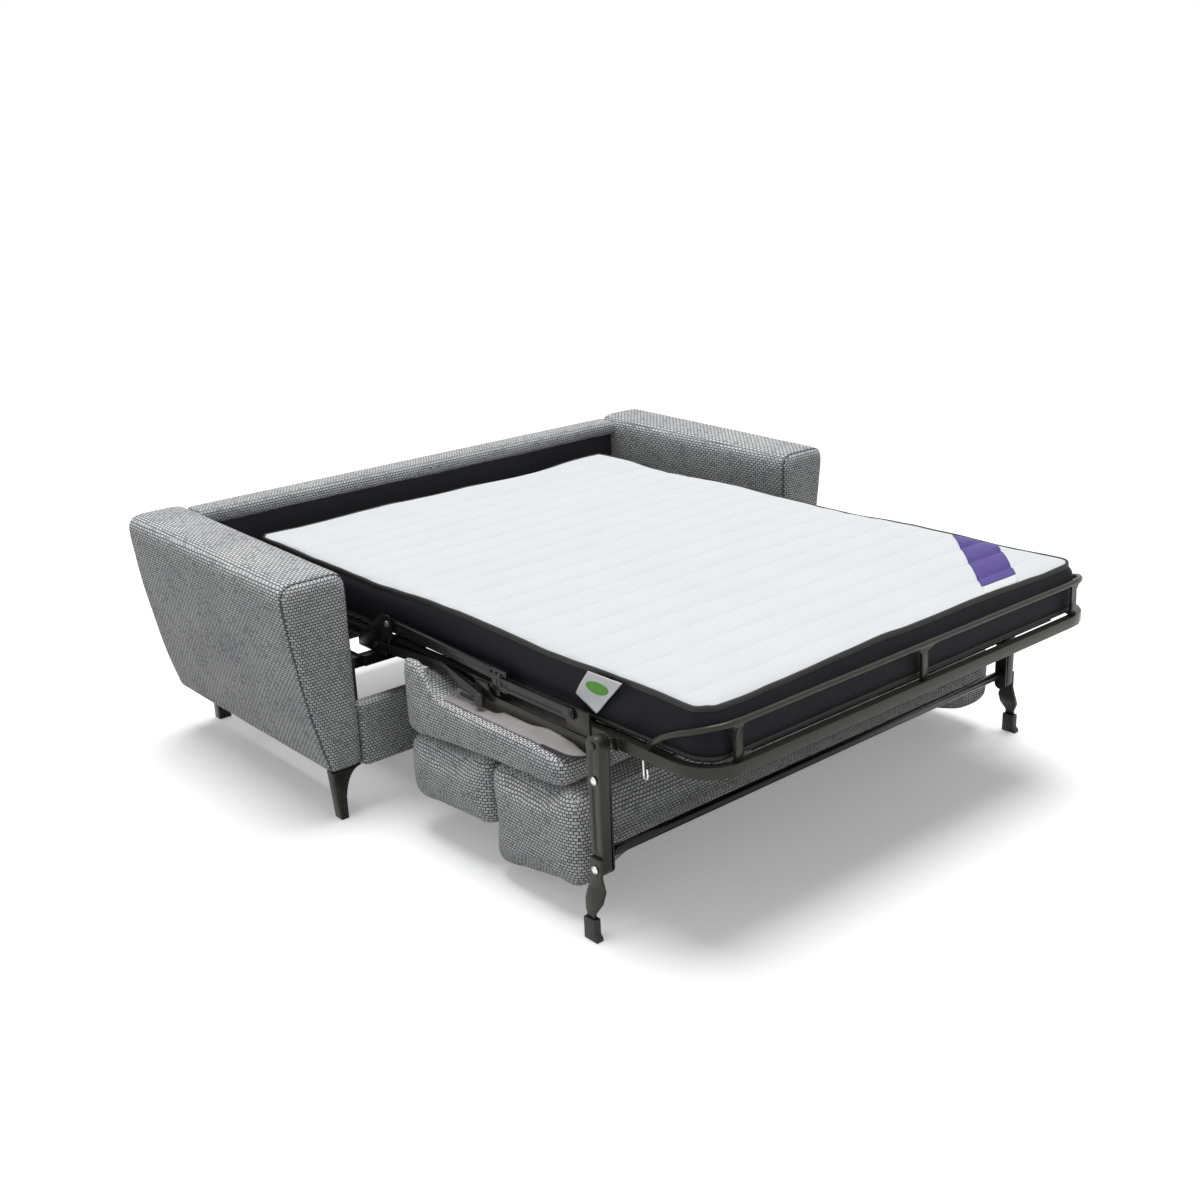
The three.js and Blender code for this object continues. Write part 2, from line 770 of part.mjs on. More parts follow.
// The stay inside the channel carries three bolts, the top one being the leg's pivot
function legStay() {
  const foot = { depth: legPivot.depth, height: legFootHeight + legFootWidth / 2 };
  const body = bar(
    legPivot, foot, legFootWidth / 2, legFootWidth / 2, stayPlace, stayPlace + plate,
  );
  const bolts = [legPivot.height, ...legBoltHeights].flatMap((height) => {
    const place = { depth: legPivot.depth, height };
    const outside = height > footBarTop ? legOuter + seam : legOuter + footBarThickness + 2 * seam;
    return [
      pin(place, pivotRadius, stayPlace + seam, outside + seam),
      pin(place, boltHeadRadius, outside, outside + boltHeadThickness),
    ];
  });
  return joined(body, ...bolts);
}

// The foot bar is cranked outwards below the channel, swells at the crank and ends in a plastic cap
function footBar() {
  const inner = legOuter + seam;
  const outer = inner + footBarThickness;
  const shape = new THREE.Shape();
  shape.moveTo(inner, footBarTop);
  shape.lineTo(inner, footKneeHeight);
  shape.lineTo(inner + footSplay, footAnkleHeight);
  shape.lineTo(inner + footSplay, capWall);
  shape.lineTo(outer + footSplay, capWall);
  shape.lineTo(outer + footSplay, footAnkleHeight + footBarThickness / 2);
  shape.lineTo(outer, footKneeHeight + footBarThickness / 2);
  shape.lineTo(outer, footBarTop);
  shape.closePath();
  const cranked = new THREE.ExtrudeGeometry(shape, { depth: footKneeWidth, bevelEnabled: false });
  cranked.rotateX(Math.PI / 2);
  cranked.translate(0, footKneeWidth / 2 - legPivot.depth, 0);
  const swell = [
    [legFootWidth / 2, footBarTop],
    [legFootWidth / 2, legFootHeight],
    [footKneeWidth / 2, footKneeHeight],
    [footKneeWidth / 2, footKneeHeight - footBarWidth],
    [footBarWidth / 2, footAnkleHeight],
    [footBarWidth / 2, capWall],
  ];
  const rearSide = swell.map(([half, height]) => [legPivot.depth - half, height]).reverse();
  const frontSide = swell.map(([half, height]) => [legPivot.depth + half, height]);
  const outline = acrossExtrude(outlineShape([...rearSide, ...frontSide]), inner - overrun, outer + overrun + footSplay);
  const hole = boltHole({ depth: legPivot.depth, height: legBoltHeights[1] }, inner, outer);
  return cut(common(cranked, outline), hole);
}

function footCap() {
  const inner = legOuter + seam + footSplay;
  const outer = inner + footBarThickness;
  const near = legPivot.depth - capWidth / 2;
  const far = legPivot.depth + capWidth / 2;
  const shape = outlineShape([
    [near, 0],
    [far + capToe, 0],
    [far + capToe, capToe],
    [far, 2 * capToe],
    [far, capHeight],
    [near, capHeight],
  ]);
  const body = acrossExtrude(shape, inner - capWall, outer + capWall);
  const pocket = block(
    inner - seam, outer + seam,
    legPivot.depth - footBarWidth / 2 - seam, legPivot.depth + footBarWidth / 2 + seam,
    capWall - seam, capHeight + overrun,
  );
  return cut(body, pocket);
}

// A spring wire hangs in a narrow U from the foot rail
function latchWire() {
  const wireDepth = footEnd - footCornerRadius - wireGap;
  const across = frameOuter - railWidth / 2;
  const top = frameFoot - seam;
  const route = new THREE.CatmullRomCurve3([
    new THREE.Vector3(across, -wireDepth, top),
    new THREE.Vector3(across, -wireDepth, top - wireLength / 2),
    new THREE.Vector3(across, -wireDepth - wireSpread / 4, top - wireLength),
    new THREE.Vector3(across, -wireDepth - wireSpread, top - wireLength),
    new THREE.Vector3(across, -wireDepth - wireSpread, top - wireLength / 2),
  ], false, 'centripetal');
  const section = new THREE.Shape();
  section.absarc(0, 0, wireRadius, 0, 2 * Math.PI, false);
  return new THREE.ExtrudeGeometry(section, {
    steps: roundSides, curveSegments: wireSides / 2, bevelEnabled: false, extrudePath: route,
  });
}

function guideBar() {
  const to = guidePlace + plate;
  const rear = bar(guidePivot, guideKnee, guideWidth / 2, guideWidth / 2, guidePlace, to);
  const front = bar(guideKnee, guideTip, guideWidth / 2, guideWidth / 2, guidePlace, to);
  const pivot = pin(guidePivot, pivotRadius, outboardPlate, guidePlace + seam);
  const head = pin(guidePivot, boltHeadRadius, to, to + boltHeadThickness);
  return cut(joined(rear, front, pivot, head), boltHole(guideTip, guidePlace, to));
}

function guideRoller() {
  const from = guidePlace + plate + seam;
  const wheel = pin(guideTip, rollerRadius, from, from + rollerWidth);
  return joined(
    wheel,
    pin(guideTip, pivotRadius, guidePlace - seam, from + seam),
    pin(guideTip, capScrewRadius, from + rollerWidth - seam, from + rollerWidth + boltHeadThickness),
  );
}

// The seat's side plate hangs under the middle frame and runs on to the folding legs
function seatPlate() {
  const start = foldPivot.depth - sidePlateSetback - sidePlateCut;
  const end = lowerBackEnd;
  const neck = start + sidePlateNeckWidth;
  const top = frameTop - sidePlateDrop;
  const foot = top - sidePlateRearHeight;
  const shape = outlineShape([
    [start, frameTop - netThickness],
    [neck, frameTop - netThickness],
    [neck + sidePlateCut / 2, top],
    [end, top],
    [end, top - sidePlateCut / 2],
    [end - sidePlateCut, top - sidePlateFrontHeight],
    [start, foot],
  ]);
  return acrossExtrude(shape, inboardPlate, inboardPlate + plate);
}

// One ring of a cushion: soft corners come from leaving the corner itself out
function cushionRing(corners, crowns, draw) {
  const edgeShares = [0.07, 0.2, 0.5, 0.8, 0.93];
  const centre = corners.reduce((sum, [depth, height]) => [sum[0] + depth, sum[1] + height], [0, 0]);
  centre[0] /= corners.length;
  centre[1] /= corners.length;
  const ring = [];
  corners.forEach((start, index) => {
    const end = corners[(index + 1) % corners.length];
    const run = [end[0] - start[0], end[1] - start[1]];
    const length = Math.hypot(...run);
    for (const share of edgeShares) {
      const bulge = crowns[index] * 4 * share * (1 - share);
      const depth = start[0] + run[0] * share + (run[1] / length) * bulge;
      const height = start[1] + run[1] * share - (run[0] / length) * bulge;
      const reach = Math.hypot(depth - centre[0], height - centre[1]);
      const keep = Math.max(0, 1 - draw / reach);
      ring.push([centre[0] + (depth - centre[0]) * keep, centre[1] + (height - centre[1]) * keep]);
    }
  });
  return { ring, centre };
}

// A cushion lofted along its length, drawn in at both ends
function cushion(cornersAt, crowns) {
  const endShares = [0, 0.3, 0.7, 1];
  const places = endShares.map((share) => ({
    across: -cushionHalfLength + cushionEndRadius * (1 - Math.cos((share * Math.PI) / 2)),
    draw: cushionEndRadius * (1 - Math.sin((share * Math.PI) / 2)),
  }));
  const horn = cushionHalfLength - cushionEndRadius - hornLength;
  const middles = [-horn, -horn / 2, 0, horn / 2, horn].map((across) => ({ across, draw: 0 }));
  const ends = [...places].reverse().map(({ across, draw }) => ({ across: -across, draw }));
  const stations = [...places, ...middles, ...ends];
  const vertices = [];
  const faces = [];
  const rings = stations.map(({ across, draw }) => {
    const { ring, centre } = cushionRing(cornersAt(across), crowns, draw);
    ring.forEach(([depth, height]) => vertices.push(across, -depth, height));
    return { across, centre, count: ring.length };
  });
  const count = rings[0].count;
  for (let row = 0; row + 1 < rings.length; row += 1) {
    for (let place = 0; place < count; place += 1) {
      const a = row * count + place;
      const b = row * count + ((place + 1) % count);
      faces.push(a, a + count, b, b, a + count, b + count);
    }
  }
  [[0, -1], [rings.length - 1, 1]].forEach(([row, side]) => {
    const { across, centre } = rings[row];
    const hub = vertices.length / 3;
    vertices.push(across + side * cushionCrown / 2, -centre[0], centre[1]);
    for (let place = 0; place < count; place += 1) {
      const a = row * count + place;
      const b = row * count + ((place + 1) % count);
      faces.push(...(side < 0 ? [hub, a, b] : [hub, b, a]));
    }
  });
  const geometry = new THREE.BufferGeometry();
  geometry.setAttribute('position', new THREE.Float32BufferAttribute(vertices, 3));
  geometry.setIndex(faces);
  return geometry;
}

// The seat is thicker at its front border, which lies nearest the sofa while it is turned over
const seatUnderside = (depth) => seatTop - seatRearThickness
  + ((depth - seatStart) / seatLength) * (seatRearThickness - seatFrontThickness);
const upperBackFoot = seatUnderside(seatStart) - upperBackThickness;
const lowerBackFoot = seatUnderside(seatEnd) - lowerBackThickness;

// The seat lies upside down: its front border is the lip that stands up beside the bars
function seatCushion() {
  const hornFoot = cushionHalfLength - cushionEndRadius;
  return cushion((across) => {
    const rise = Math.abs(across) < hornFoot ? seatLipHeight : seatHornHeight;
    return [
      [seatStart, seatUnderside(seatStart)],
      [seatEnd, seatUnderside(seatEnd)],
      [seatEnd, seatTop],
      [seatStart + seatLipWidth, seatTop],
      [seatStart + seatLipWidth / 2, seatTop + rise],
      [seatStart, seatTop + rise],
    ];
  }, [0, cushionCrown, 0, 0, 0, cushionCrown / 2]);
}

function upperBackCushion() {
  const top = (depth) => seatUnderside(depth) - cushionGap;
  return cushion(() => [
    [upperBackStart, upperBackFoot],
    [upperBackEnd, upperBackFoot + cushionEndRadius],
    [upperBackEnd, top(upperBackEnd)],
    [upperBackStart, top(upperBackStart)],
  ], [cushionCrown, 0, 0, cushionCrown]);
}

function lowerBackCushion() {
  const top = (depth) => seatUnderside(depth) - cushionGap;
  return cushion(() => [
    [lowerBackStart, lowerBackFoot],
    [lowerBackEnd - cushionEndRadius / 2, lowerBackFoot + 2 * cushionEndRadius],
    [lowerBackEnd - cushionEndRadius, top(seatEnd)],
    [lowerBackStart, top(lowerBackStart)],
  ], [cushionCrown, cushionCrown, 0, 0]);
}

// Mattress piece between two depths, with sewn channels across its top
function mattressPiece(depthFrom, depthTo) {
  const low = frameTop + seam;
  const channels = Math.max(1, Math.round((depthTo - depthFrom) / channelPitch));
  const pitch = (depthTo - depthFrom) / channels;
  const shape = new THREE.Shape();
  shape.moveTo(depthFrom, low);
  shape.lineTo(depthTo, low);
  shape.lineTo(depthTo, mattressTop - channelDepth);
  for (let channel = channels; channel > 0; channel -= 1) {
    const start = depthFrom + channel * pitch;
    shape.quadraticCurveTo(
      start - pitch / 2, mattressTop + channelDepth, start - pitch, mattressTop - channelDepth,
    );
  }
  shape.closePath();
  return acrossExtrude(shape, -mattressWidth / 2, mattressWidth / 2, mattressEdge / 2);
}

// A plan with four round corners, used to trim the mattress
function roundPlan(half, depthFrom, depthTo, corner) {
  const shape = new THREE.Shape();
  shape.moveTo(corner - half, depthFrom);
  shape.lineTo(half - corner, depthFrom);
  shape.quadraticCurveTo(half, depthFrom, half, depthFrom + corner);
  shape.lineTo(half, depthTo - corner);
  shape.quadraticCurveTo(half, depthTo, half - corner, depthTo);
  shape.lineTo(corner - half, depthTo);
  shape.quadraticCurveTo(-half, depthTo, -half, depthTo - corner);
  shape.lineTo(-half, depthFrom + corner);
  shape.quadraticCurveTo(-half, depthFrom, corner - half, depthFrom);
  const geometry = new THREE.ExtrudeGeometry(shape, {
    depth: mattressTop - frameTop + 2 * overrun, bevelEnabled: false, curveSegments: arcSteps,
  });
  geometry.scale(1, -1, 1);
  return mirrorWinding(geometry.translate(0, 0, frameTop - overrun));
}

function sideTag() {
  const geometry = new THREE.BoxGeometry(tagThickness, tagWidth, tagHeight);
  geometry.rotateX(tagTurn);
  const across = -mattressWidth / 2 - seam - tagThickness / 2;
  return geometry.translate(across, tagGap - mattressEnd, mattressTop - tagDrop);
}

// A band laid slantwise over the foot corner, cut off at the mattress edges
function cornerRibbon(plan) {
  const geometry = new THREE.BoxGeometry(ribbonLength, ribbonWidth, tagThickness);
  geometry.rotateZ(ribbonTurn);
  const across = mattressWidth / 2 - ribbonGap.across;
  geometry.translate(across, ribbonGap.depth - mattressEnd, mattressTop + seam + tagThickness / 2);
  return common(geometry, plan);
}

// Body
addPair('arm', arm(), weave);
addPiece('back', back(), weave);
addPiece('back_lining', block(
  seam - innerHalf, innerHalf - seam, backThickness + seam, backThickness + seam + liningThickness,
  armUnderside + liningFootGap, rollUnderside - seam,
), lining);
addPiece('front_rail', frontRail(), weave);
addPair('front_leg', bladeLeg(), lacquer);
addPair('rear_leg', rearLeg(), lacquer);

// Base inside the body
const railBack = armDepth - frontRailSetback - frontRailThickness;
const liningFront = backThickness + liningThickness + 2 * seam;
addPair('base_side', block(
  boardInner, innerHalf - seam, liningFront, railBack - seam, armUnderside, baseTubeTop + boardRise,
), wood);
addPair('side_tube', block(
  boardInner - seam - baseTube, boardInner - seam, sideTubeSetback, railBack - sideTubeGap, baseTubeUnderside, baseTubeTop,
), lacquer);
const tubeHalf = boardInner - 2 * seam - baseTube;
addPiece('front_tube', block(
  -tubeHalf, tubeHalf, frontTubeDepth, frontTubeDepth + baseTube - seam, baseTubeUnderside, baseTubeTop,
), lacquer);
addPiece('rear_tube', block(
  -tubeHalf, tubeHalf, headStart, headStart + baseTube - seam, baseTubeUnderside, baseTubeTop,
), lacquer);
addPair('hinge_bracket', hingeBracket(), lacquer);
addPair('main_pivot', boltThrough(mainPivot, inboardPlate, outboardPlate + plate), zinc);

// Bed sections
addPiece('head_frame', headFrame(), lacquer);
addPiece('head_net', net(headStart, headEnd), lacquer);
addPiece('middle_frame', joined(...frameOf(middleStart, middleEnd)), lacquer);
addPiece('middle_net', net(middleStart, middleEnd), lacquer);
addPair('upper_bar', upperBar(), lacquer);
addPair('link_arm', linkArm(), lacquer);
addPiece('foot_frame', footFrame(), olive);
const footNetEnd = hoopCentre - railWidth;
addPiece('foot_net', net(foldEnd.depth + linkEndRadius, footNetEnd, true), lacquer);
addPiece('hoop', hoop(), olive);
addPair('guide_bar', guideBar(), lacquer);
addPair('guide_roller', guideRoller(), plastic);

// Folding legs
addPair('bed_leg', bedLeg(), olive);
addPair('leg_stay', legStay(), lacquer);
addPair('foot_bar', footBar(), olive);
addPair('foot_cap', footCap(), plastic);
addPiece('leg_tube', pin(
  { depth: legPivot.depth, height: crossTubeHeight }, crossTubeRadius, seam - stayPlace, stayPlace - seam,
), lacquer);
addPair('latch_wire', latchWire(), zinc);

// Seat and back, upside down under the bed
addPair('seat_plate', seatPlate(), olive);
addPiece('seat_board', block(
  seam - inboardPlate, inboardPlate - seam, seatStart + seatLipWidth + boardSetback, seatEnd + boardOverhang,
  seatTop + seam, seatTop + seam + boardSheet,
), underCloth);
addPiece('seat_cushion', seatCushion(), weave);
addPiece('back_cushion_upper', upperBackCushion(), weave);
addPiece('back_cushion_lower', lowerBackCushion(), weave);

// Mattress, in rigid lengths with a bending length over each hinge
const plan = roundPlan(mattressWidth / 2, mattressSetback, mattressEnd, mattressCornerRadius);
const rearFold = mainPivot.depth - rearFoldReach.back;
const rearFoldEnd = mainPivot.depth + rearFoldReach.front;
addPiece('mattress_head', common(mattressPiece(mattressSetback, rearFold - seam), plan), cover);
addPiece('mattress_rear_fold', mattressPiece(rearFold, rearFoldEnd - seam), cover);
addPiece('mattress_middle', mattressPiece(rearFoldEnd, foldPivot.depth - seam), cover);
addPiece('mattress_front_fold', mattressPiece(foldPivot.depth, foldEnd.depth - seam), cover);
addPiece('mattress_foot', common(mattressPiece(foldEnd.depth, mattressEnd), plan), cover);
addPiece('side_tag', sideTag(), paper);
addPiece('corner_ribbon', cornerRibbon(plan), violet);

// The origin is the middle of the floor under the opened bed
const openLength = footEnd;
sofa.children.forEach((mesh) => mesh.position.setY(openLength / 2));

export default sofa;
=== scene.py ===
"""Sleeper sofa with its bed pulled out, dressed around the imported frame, in metres."""

import math

import bmesh
import bpy
import numpy as np
from mathutils import Matrix, Vector, noise
from mathutils.bvhtree import BVHTree


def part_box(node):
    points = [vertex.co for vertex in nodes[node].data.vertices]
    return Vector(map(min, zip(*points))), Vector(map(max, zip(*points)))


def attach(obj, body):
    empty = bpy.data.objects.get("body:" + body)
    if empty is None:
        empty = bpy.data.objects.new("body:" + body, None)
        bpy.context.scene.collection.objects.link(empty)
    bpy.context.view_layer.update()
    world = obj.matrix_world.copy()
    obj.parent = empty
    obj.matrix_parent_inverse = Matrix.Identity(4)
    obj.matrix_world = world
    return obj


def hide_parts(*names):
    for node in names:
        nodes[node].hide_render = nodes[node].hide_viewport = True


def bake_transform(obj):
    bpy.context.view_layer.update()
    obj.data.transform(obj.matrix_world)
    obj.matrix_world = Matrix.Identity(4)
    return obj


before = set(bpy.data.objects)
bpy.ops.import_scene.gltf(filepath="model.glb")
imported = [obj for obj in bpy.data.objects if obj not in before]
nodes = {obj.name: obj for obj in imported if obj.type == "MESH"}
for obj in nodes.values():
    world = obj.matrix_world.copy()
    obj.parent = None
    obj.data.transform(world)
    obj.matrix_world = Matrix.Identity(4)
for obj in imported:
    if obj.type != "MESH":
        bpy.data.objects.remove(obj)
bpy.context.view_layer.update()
scene = bpy.context.scene

# The photograph's camera: a 43 mm lens at eye height beyond the left foot corner
# of the bed, turned towards the sofa and tilted down a little.
CAMERA_PLACE = (-2.5995, -2.9960, 1.7767)
CAMERA_TURN = math.radians(-39.86)
CAMERA_TILT = math.radians(18.71)
CAMERA_ROLL = math.radians(-2.48)
LENS_MM = 43.39
SENSOR_MM = 36.0
FARTHEST = 60.0

camera_back = Vector((
    math.sin(CAMERA_TURN) * math.cos(CAMERA_TILT),
    -math.cos(CAMERA_TURN) * math.cos(CAMERA_TILT),
    math.sin(CAMERA_TILT),
))
level_right = Vector((math.cos(CAMERA_TURN), math.sin(CAMERA_TURN), 0.0))
level_up = camera_back.cross(level_right)
camera_right = math.cos(CAMERA_ROLL) * level_right + math.sin(CAMERA_ROLL) * level_up
camera_up = math.cos(CAMERA_ROLL) * level_up - math.sin(CAMERA_ROLL) * level_right
camera = bpy.data.objects.new("camera", bpy.data.cameras.new("camera"))
scene.collection.objects.link(camera)
camera.data.sensor_width = SENSOR_MM
camera.data.lens = LENS_MM
camera.data.clip_end = FARTHEST
turned = Matrix((camera_right, camera_up, camera_back)).transposed().to_4x4()
camera.matrix_world = Matrix.Translation(CAMERA_PLACE) @ turned
scene.camera = camera
scene.view_settings.view_transform = "Standard"

# A white studio: an even sky, a wide soft lamp overhead, and a pale floor that stays
# white to the eye and keeps the soft shadow under the sofa and the bed.
SKY_LEVEL = 0.30
KEY_LEVEL = 2.35
KEY_SPREAD = math.radians(38)
KEY_TURN = (math.radians(-4), math.radians(5), 0.0)
FILL_LEVEL = 0.16
FILL_SPREAD = math.radians(70)
FILL_TURN = (0.0, math.radians(-62), math.radians(-8))
FLOOR_HALF = 14.0
FLOOR_BOUNCE = 0.42
FLOOR_SEEN = 1.0
FLOOR_LIFT = 0.25
WHITE = (1.0, 1.0, 1.0, 1.0)


def add(tree, kind, given=(), **settings):
    """A node with its settings, and each input given a value or linked to a socket."""
    made = tree.nodes.new(kind)
    for label, value in settings.items():
        setattr(made, label, value)
    for label, value in dict(given).items():
        if isinstance(value, bpy.types.NodeSocket):
            tree.links.new(value, made.inputs[label])
        else:
            made.inputs[label].default_value = value
    return made


def shown_by_ray(tree, lit, seen):
    """The second shader to the camera and in polished metal, the first to all other rays."""
    path = add(tree, "ShaderNodeLightPath")
    shown = add(
        tree, "ShaderNodeMath",
        {0: path.outputs["Is Camera Ray"], 1: path.outputs["Is Glossy Ray"]}, operation="MAXIMUM",
    )
    mix = add(
        tree, "ShaderNodeMixShader",
        {"Fac": shown.outputs[0], 1: lit.outputs[0], 2: seen.outputs[0]},
    )
    return mix.outputs[0]


world = bpy.data.worlds.new("studio")
scene.world = world
world.use_nodes = True
sky = world.node_tree
sky.nodes.clear()
sky_light = add(sky, "ShaderNodeBackground", {"Color": WHITE, "Strength": SKY_LEVEL})
sky_seen = add(sky, "ShaderNodeBackground", {"Color": WHITE})
add(sky, "ShaderNodeOutputWorld", {"Surface": shown_by_ray(sky, sky_light, sky_seen)})

for name, level, spread, turn in (
    ("key", KEY_LEVEL, KEY_SPREAD, KEY_TURN), ("fill", FILL_LEVEL, FILL_SPREAD, FILL_TURN),
):
    lamp = bpy.data.objects.new(name, bpy.data.lights.new(name, "SUN"))
    scene.collection.objects.link(lamp)
    lamp.data.energy = level
    lamp.data.angle = spread
    lamp.rotation_euler = turn

floor_mesh = bpy.data.meshes.new("floor")
floor_corners = [(-1, -1), (1, -1), (1, 1), (-1, 1)]
floor_mesh.from_pydata(
    [(x * FLOOR_HALF, y * FLOOR_HALF, 0.0) for x, y in floor_corners], [], [(0, 1, 2, 3)],
)
floor = bpy.data.objects.new("floor", floor_mesh)
scene.collection.objects.link(floor)
floor_paint = bpy.data.materials.new("floor_paint")
floor_paint.use_nodes = True
ground = floor_paint.node_tree
ground.nodes.clear()
ground_plain, ground_pale = [
    add(ground, "ShaderNodeBsdfDiffuse", {"Color": (tone, tone, tone, 1.0)})
    for tone in (FLOOR_BOUNCE, FLOOR_SEEN)
]
ground_glow = add(ground, "ShaderNodeEmission", {"Strength": FLOOR_LIFT})
ground_seen = add(
    ground, "ShaderNodeAddShader", {0: ground_pale.outputs[0], 1: ground_glow.outputs[0]},
)
ground_shown = shown_by_ray(ground, ground_plain, ground_seen)
add(ground, "ShaderNodeOutputMaterial", {"Surface": ground_shown})
floor_mesh.materials.append(floor_paint)

# Arms: padded boxes with splayed sides, covered in a chunky flecked weave. A seam with
# a row of stitches on each side runs round the front, where side panel and face meet.
OPEN_HALF = 1.069
ARM_INNER = 0.826
ARM_TOP_WIDTH = 0.192
ARM_FOOT_WIDTH = 0.098
ARM_UNDERSIDE = 0.141
ARM_HEIGHT = 0.706
ARM_DROP = 0.020
ARM_DEPTH = 0.933
ARM_FLARE = 0.510
ARM_ROUND = 0.046
ARM_BEND = (0.67, 0.41)
ARM_CELL = 0.0085
ARM_RIPPLE = 0.0016
ARM_WAVES = 7.0
MERGE_REACH = 0.00002
SEAM_SETBACKS = (0.0110, 0.0075, 0.0145)
SEAM_RADIUS = 0.0012
SEAM_STEP = 0.008
SEAM_LIFT = 0.0002
STITCH_LIFT = 0.0006
STITCH_PITCH = 0.0075
STITCH_SIZE = (0.0006, 0.0006, 0.0026)
THREAD_GREY = (0.10, 0.102, 0.108, 1.0)
YARN_SIZE = (0.0105, 0.0080)
SIDE_YARN_SHARE = 0.6
YARN_DARK = (0.59, 0.595, 0.605, 1.0)
YARN_MID = (0.91, 0.92, 0.93, 1.0)
YARN_PALE = (0.94, 0.95, 0.96, 1.0)
YARN_LIGHT = WHITE
YARN_SWAY = (0.24, 0.12, 0.0)
SWAY_SCALE = 55.0
YARN_GAP = 0.175
YARN_RELIEF = 0.0045
FIBRE_SCALE = 900.0
FIBRE_SHARE = 0.35
RUBBED_SCALE = 6.0
# Painted shade: the colour that the hollows between the yarns are darkened to
GAP_PAINTED_SHADE = (0.105, 0.109, 0.117, 1.0)
RUBBED_SHADE = (0.86, 0.86, 0.87, 1.0)
CENTIMETRES = 100.0


def new_material(name, color, roughness, metallic=0.0):
    made = bpy.data.materials.new(name)
    made.use_nodes = True
    shader = made.node_tree.nodes["Principled BSDF"]
    shader.inputs["Base Color"].default_value = color
    shader.inputs["Roughness"].default_value = roughness
    shader.inputs["Metallic"].default_value = metallic
    return made, made.node_tree, shader


def object_place(tree, scale=(1.0, 1.0, 1.0)):
    place = add(tree, "ShaderNodeTexCoord").outputs["Object"]
    return add(tree, "ShaderNodeMapping", {"Vector": place, "Scale": scale}).outputs["Vector"]


def color_ramp(tree, value, *stops):
    ramp = add(tree, "ShaderNodeValToRGB", {"Fac": value})
    while len(ramp.color_ramp.elements) < len(stops):
        ramp.color_ramp.elements.new(0.5)
    for element, (position, color) in zip(ramp.color_ramp.elements, stops):
        element.position = position
        element.color = color
    return ramp.outputs["Color"]


def noise_value(tree, place, scale, detail=2.0):
    given = {"Vector": place, "Scale": scale, "Detail": detail}
    return add(tree, "ShaderNodeTexNoise", given).outputs["Fac"]


def raise_surface(tree, shader, height, distance, strength):
    bump = add(
        tree, "ShaderNodeBump", {"Distance": distance, "Strength": strength, "Height": height},
    )
    tree.links.new(bump.outputs["Normal"], shader.inputs["Normal"])


def grained(name, color, roughness, scale, distance, strength, metallic=0.0):
    """A material of one colour with a fine grain raised on its surface."""
    made, tree, shader = new_material(name, color, roughness, metallic)
    grain = noise_value(tree, object_place(tree), scale)
    raise_surface(tree, shader, grain, distance, strength)
    return made, tree, shader


def arithmetic(tree, operation, *given):
    """One Math node; each side is a socket or a number."""
    return add(tree, "ShaderNodeMath", enumerate(given), operation=operation).outputs[0]


def cloth_plane(tree, rows_across):
    """Lays the yarn rows flat on whichever side faces outwards, in centimetres."""
    coordinates = add(tree, "ShaderNodeTexCoord")
    place = add(tree, "ShaderNodeSeparateXYZ", {0: coordinates.outputs["Object"]})
    facing = add(tree, "ShaderNodeSeparateXYZ", {0: coordinates.outputs["Normal"]})
    size = [arithmetic(tree, "ABSOLUTE", facing.outputs[axis]) for axis in range(3)]

    def leads(axis):
        others = [size[other] for other in range(3) if other != axis]
        return arithmetic(tree, "GREATER_THAN", size[axis], arithmetic(tree, "MAXIMUM", *others))

    def choose(share, plain, chosen):
        given = {"Factor": share, "A": plain, "B": chosen}
        return add(tree, "ShaderNodeMix", given).outputs["Result"]

    x, y, z = place.outputs
    if rows_across:
        along, up = choose(leads(0), x, y), choose(leads(2), z, y)
    else:
        long_yarns = arithmetic(tree, "MULTIPLY", y, SIDE_YARN_SHARE)
        along, up = choose(leads(1), long_yarns, x), choose(leads(2), z, x)
    flat = add(tree, "ShaderNodeCombineXYZ", {
        0: arithmetic(tree, "MULTIPLY", along, CENTIMETRES),
        1: arithmetic(tree, "MULTIPLY", up, CENTIMETRES),
    })
    return coordinates.outputs["Object"], flat.outputs[0]


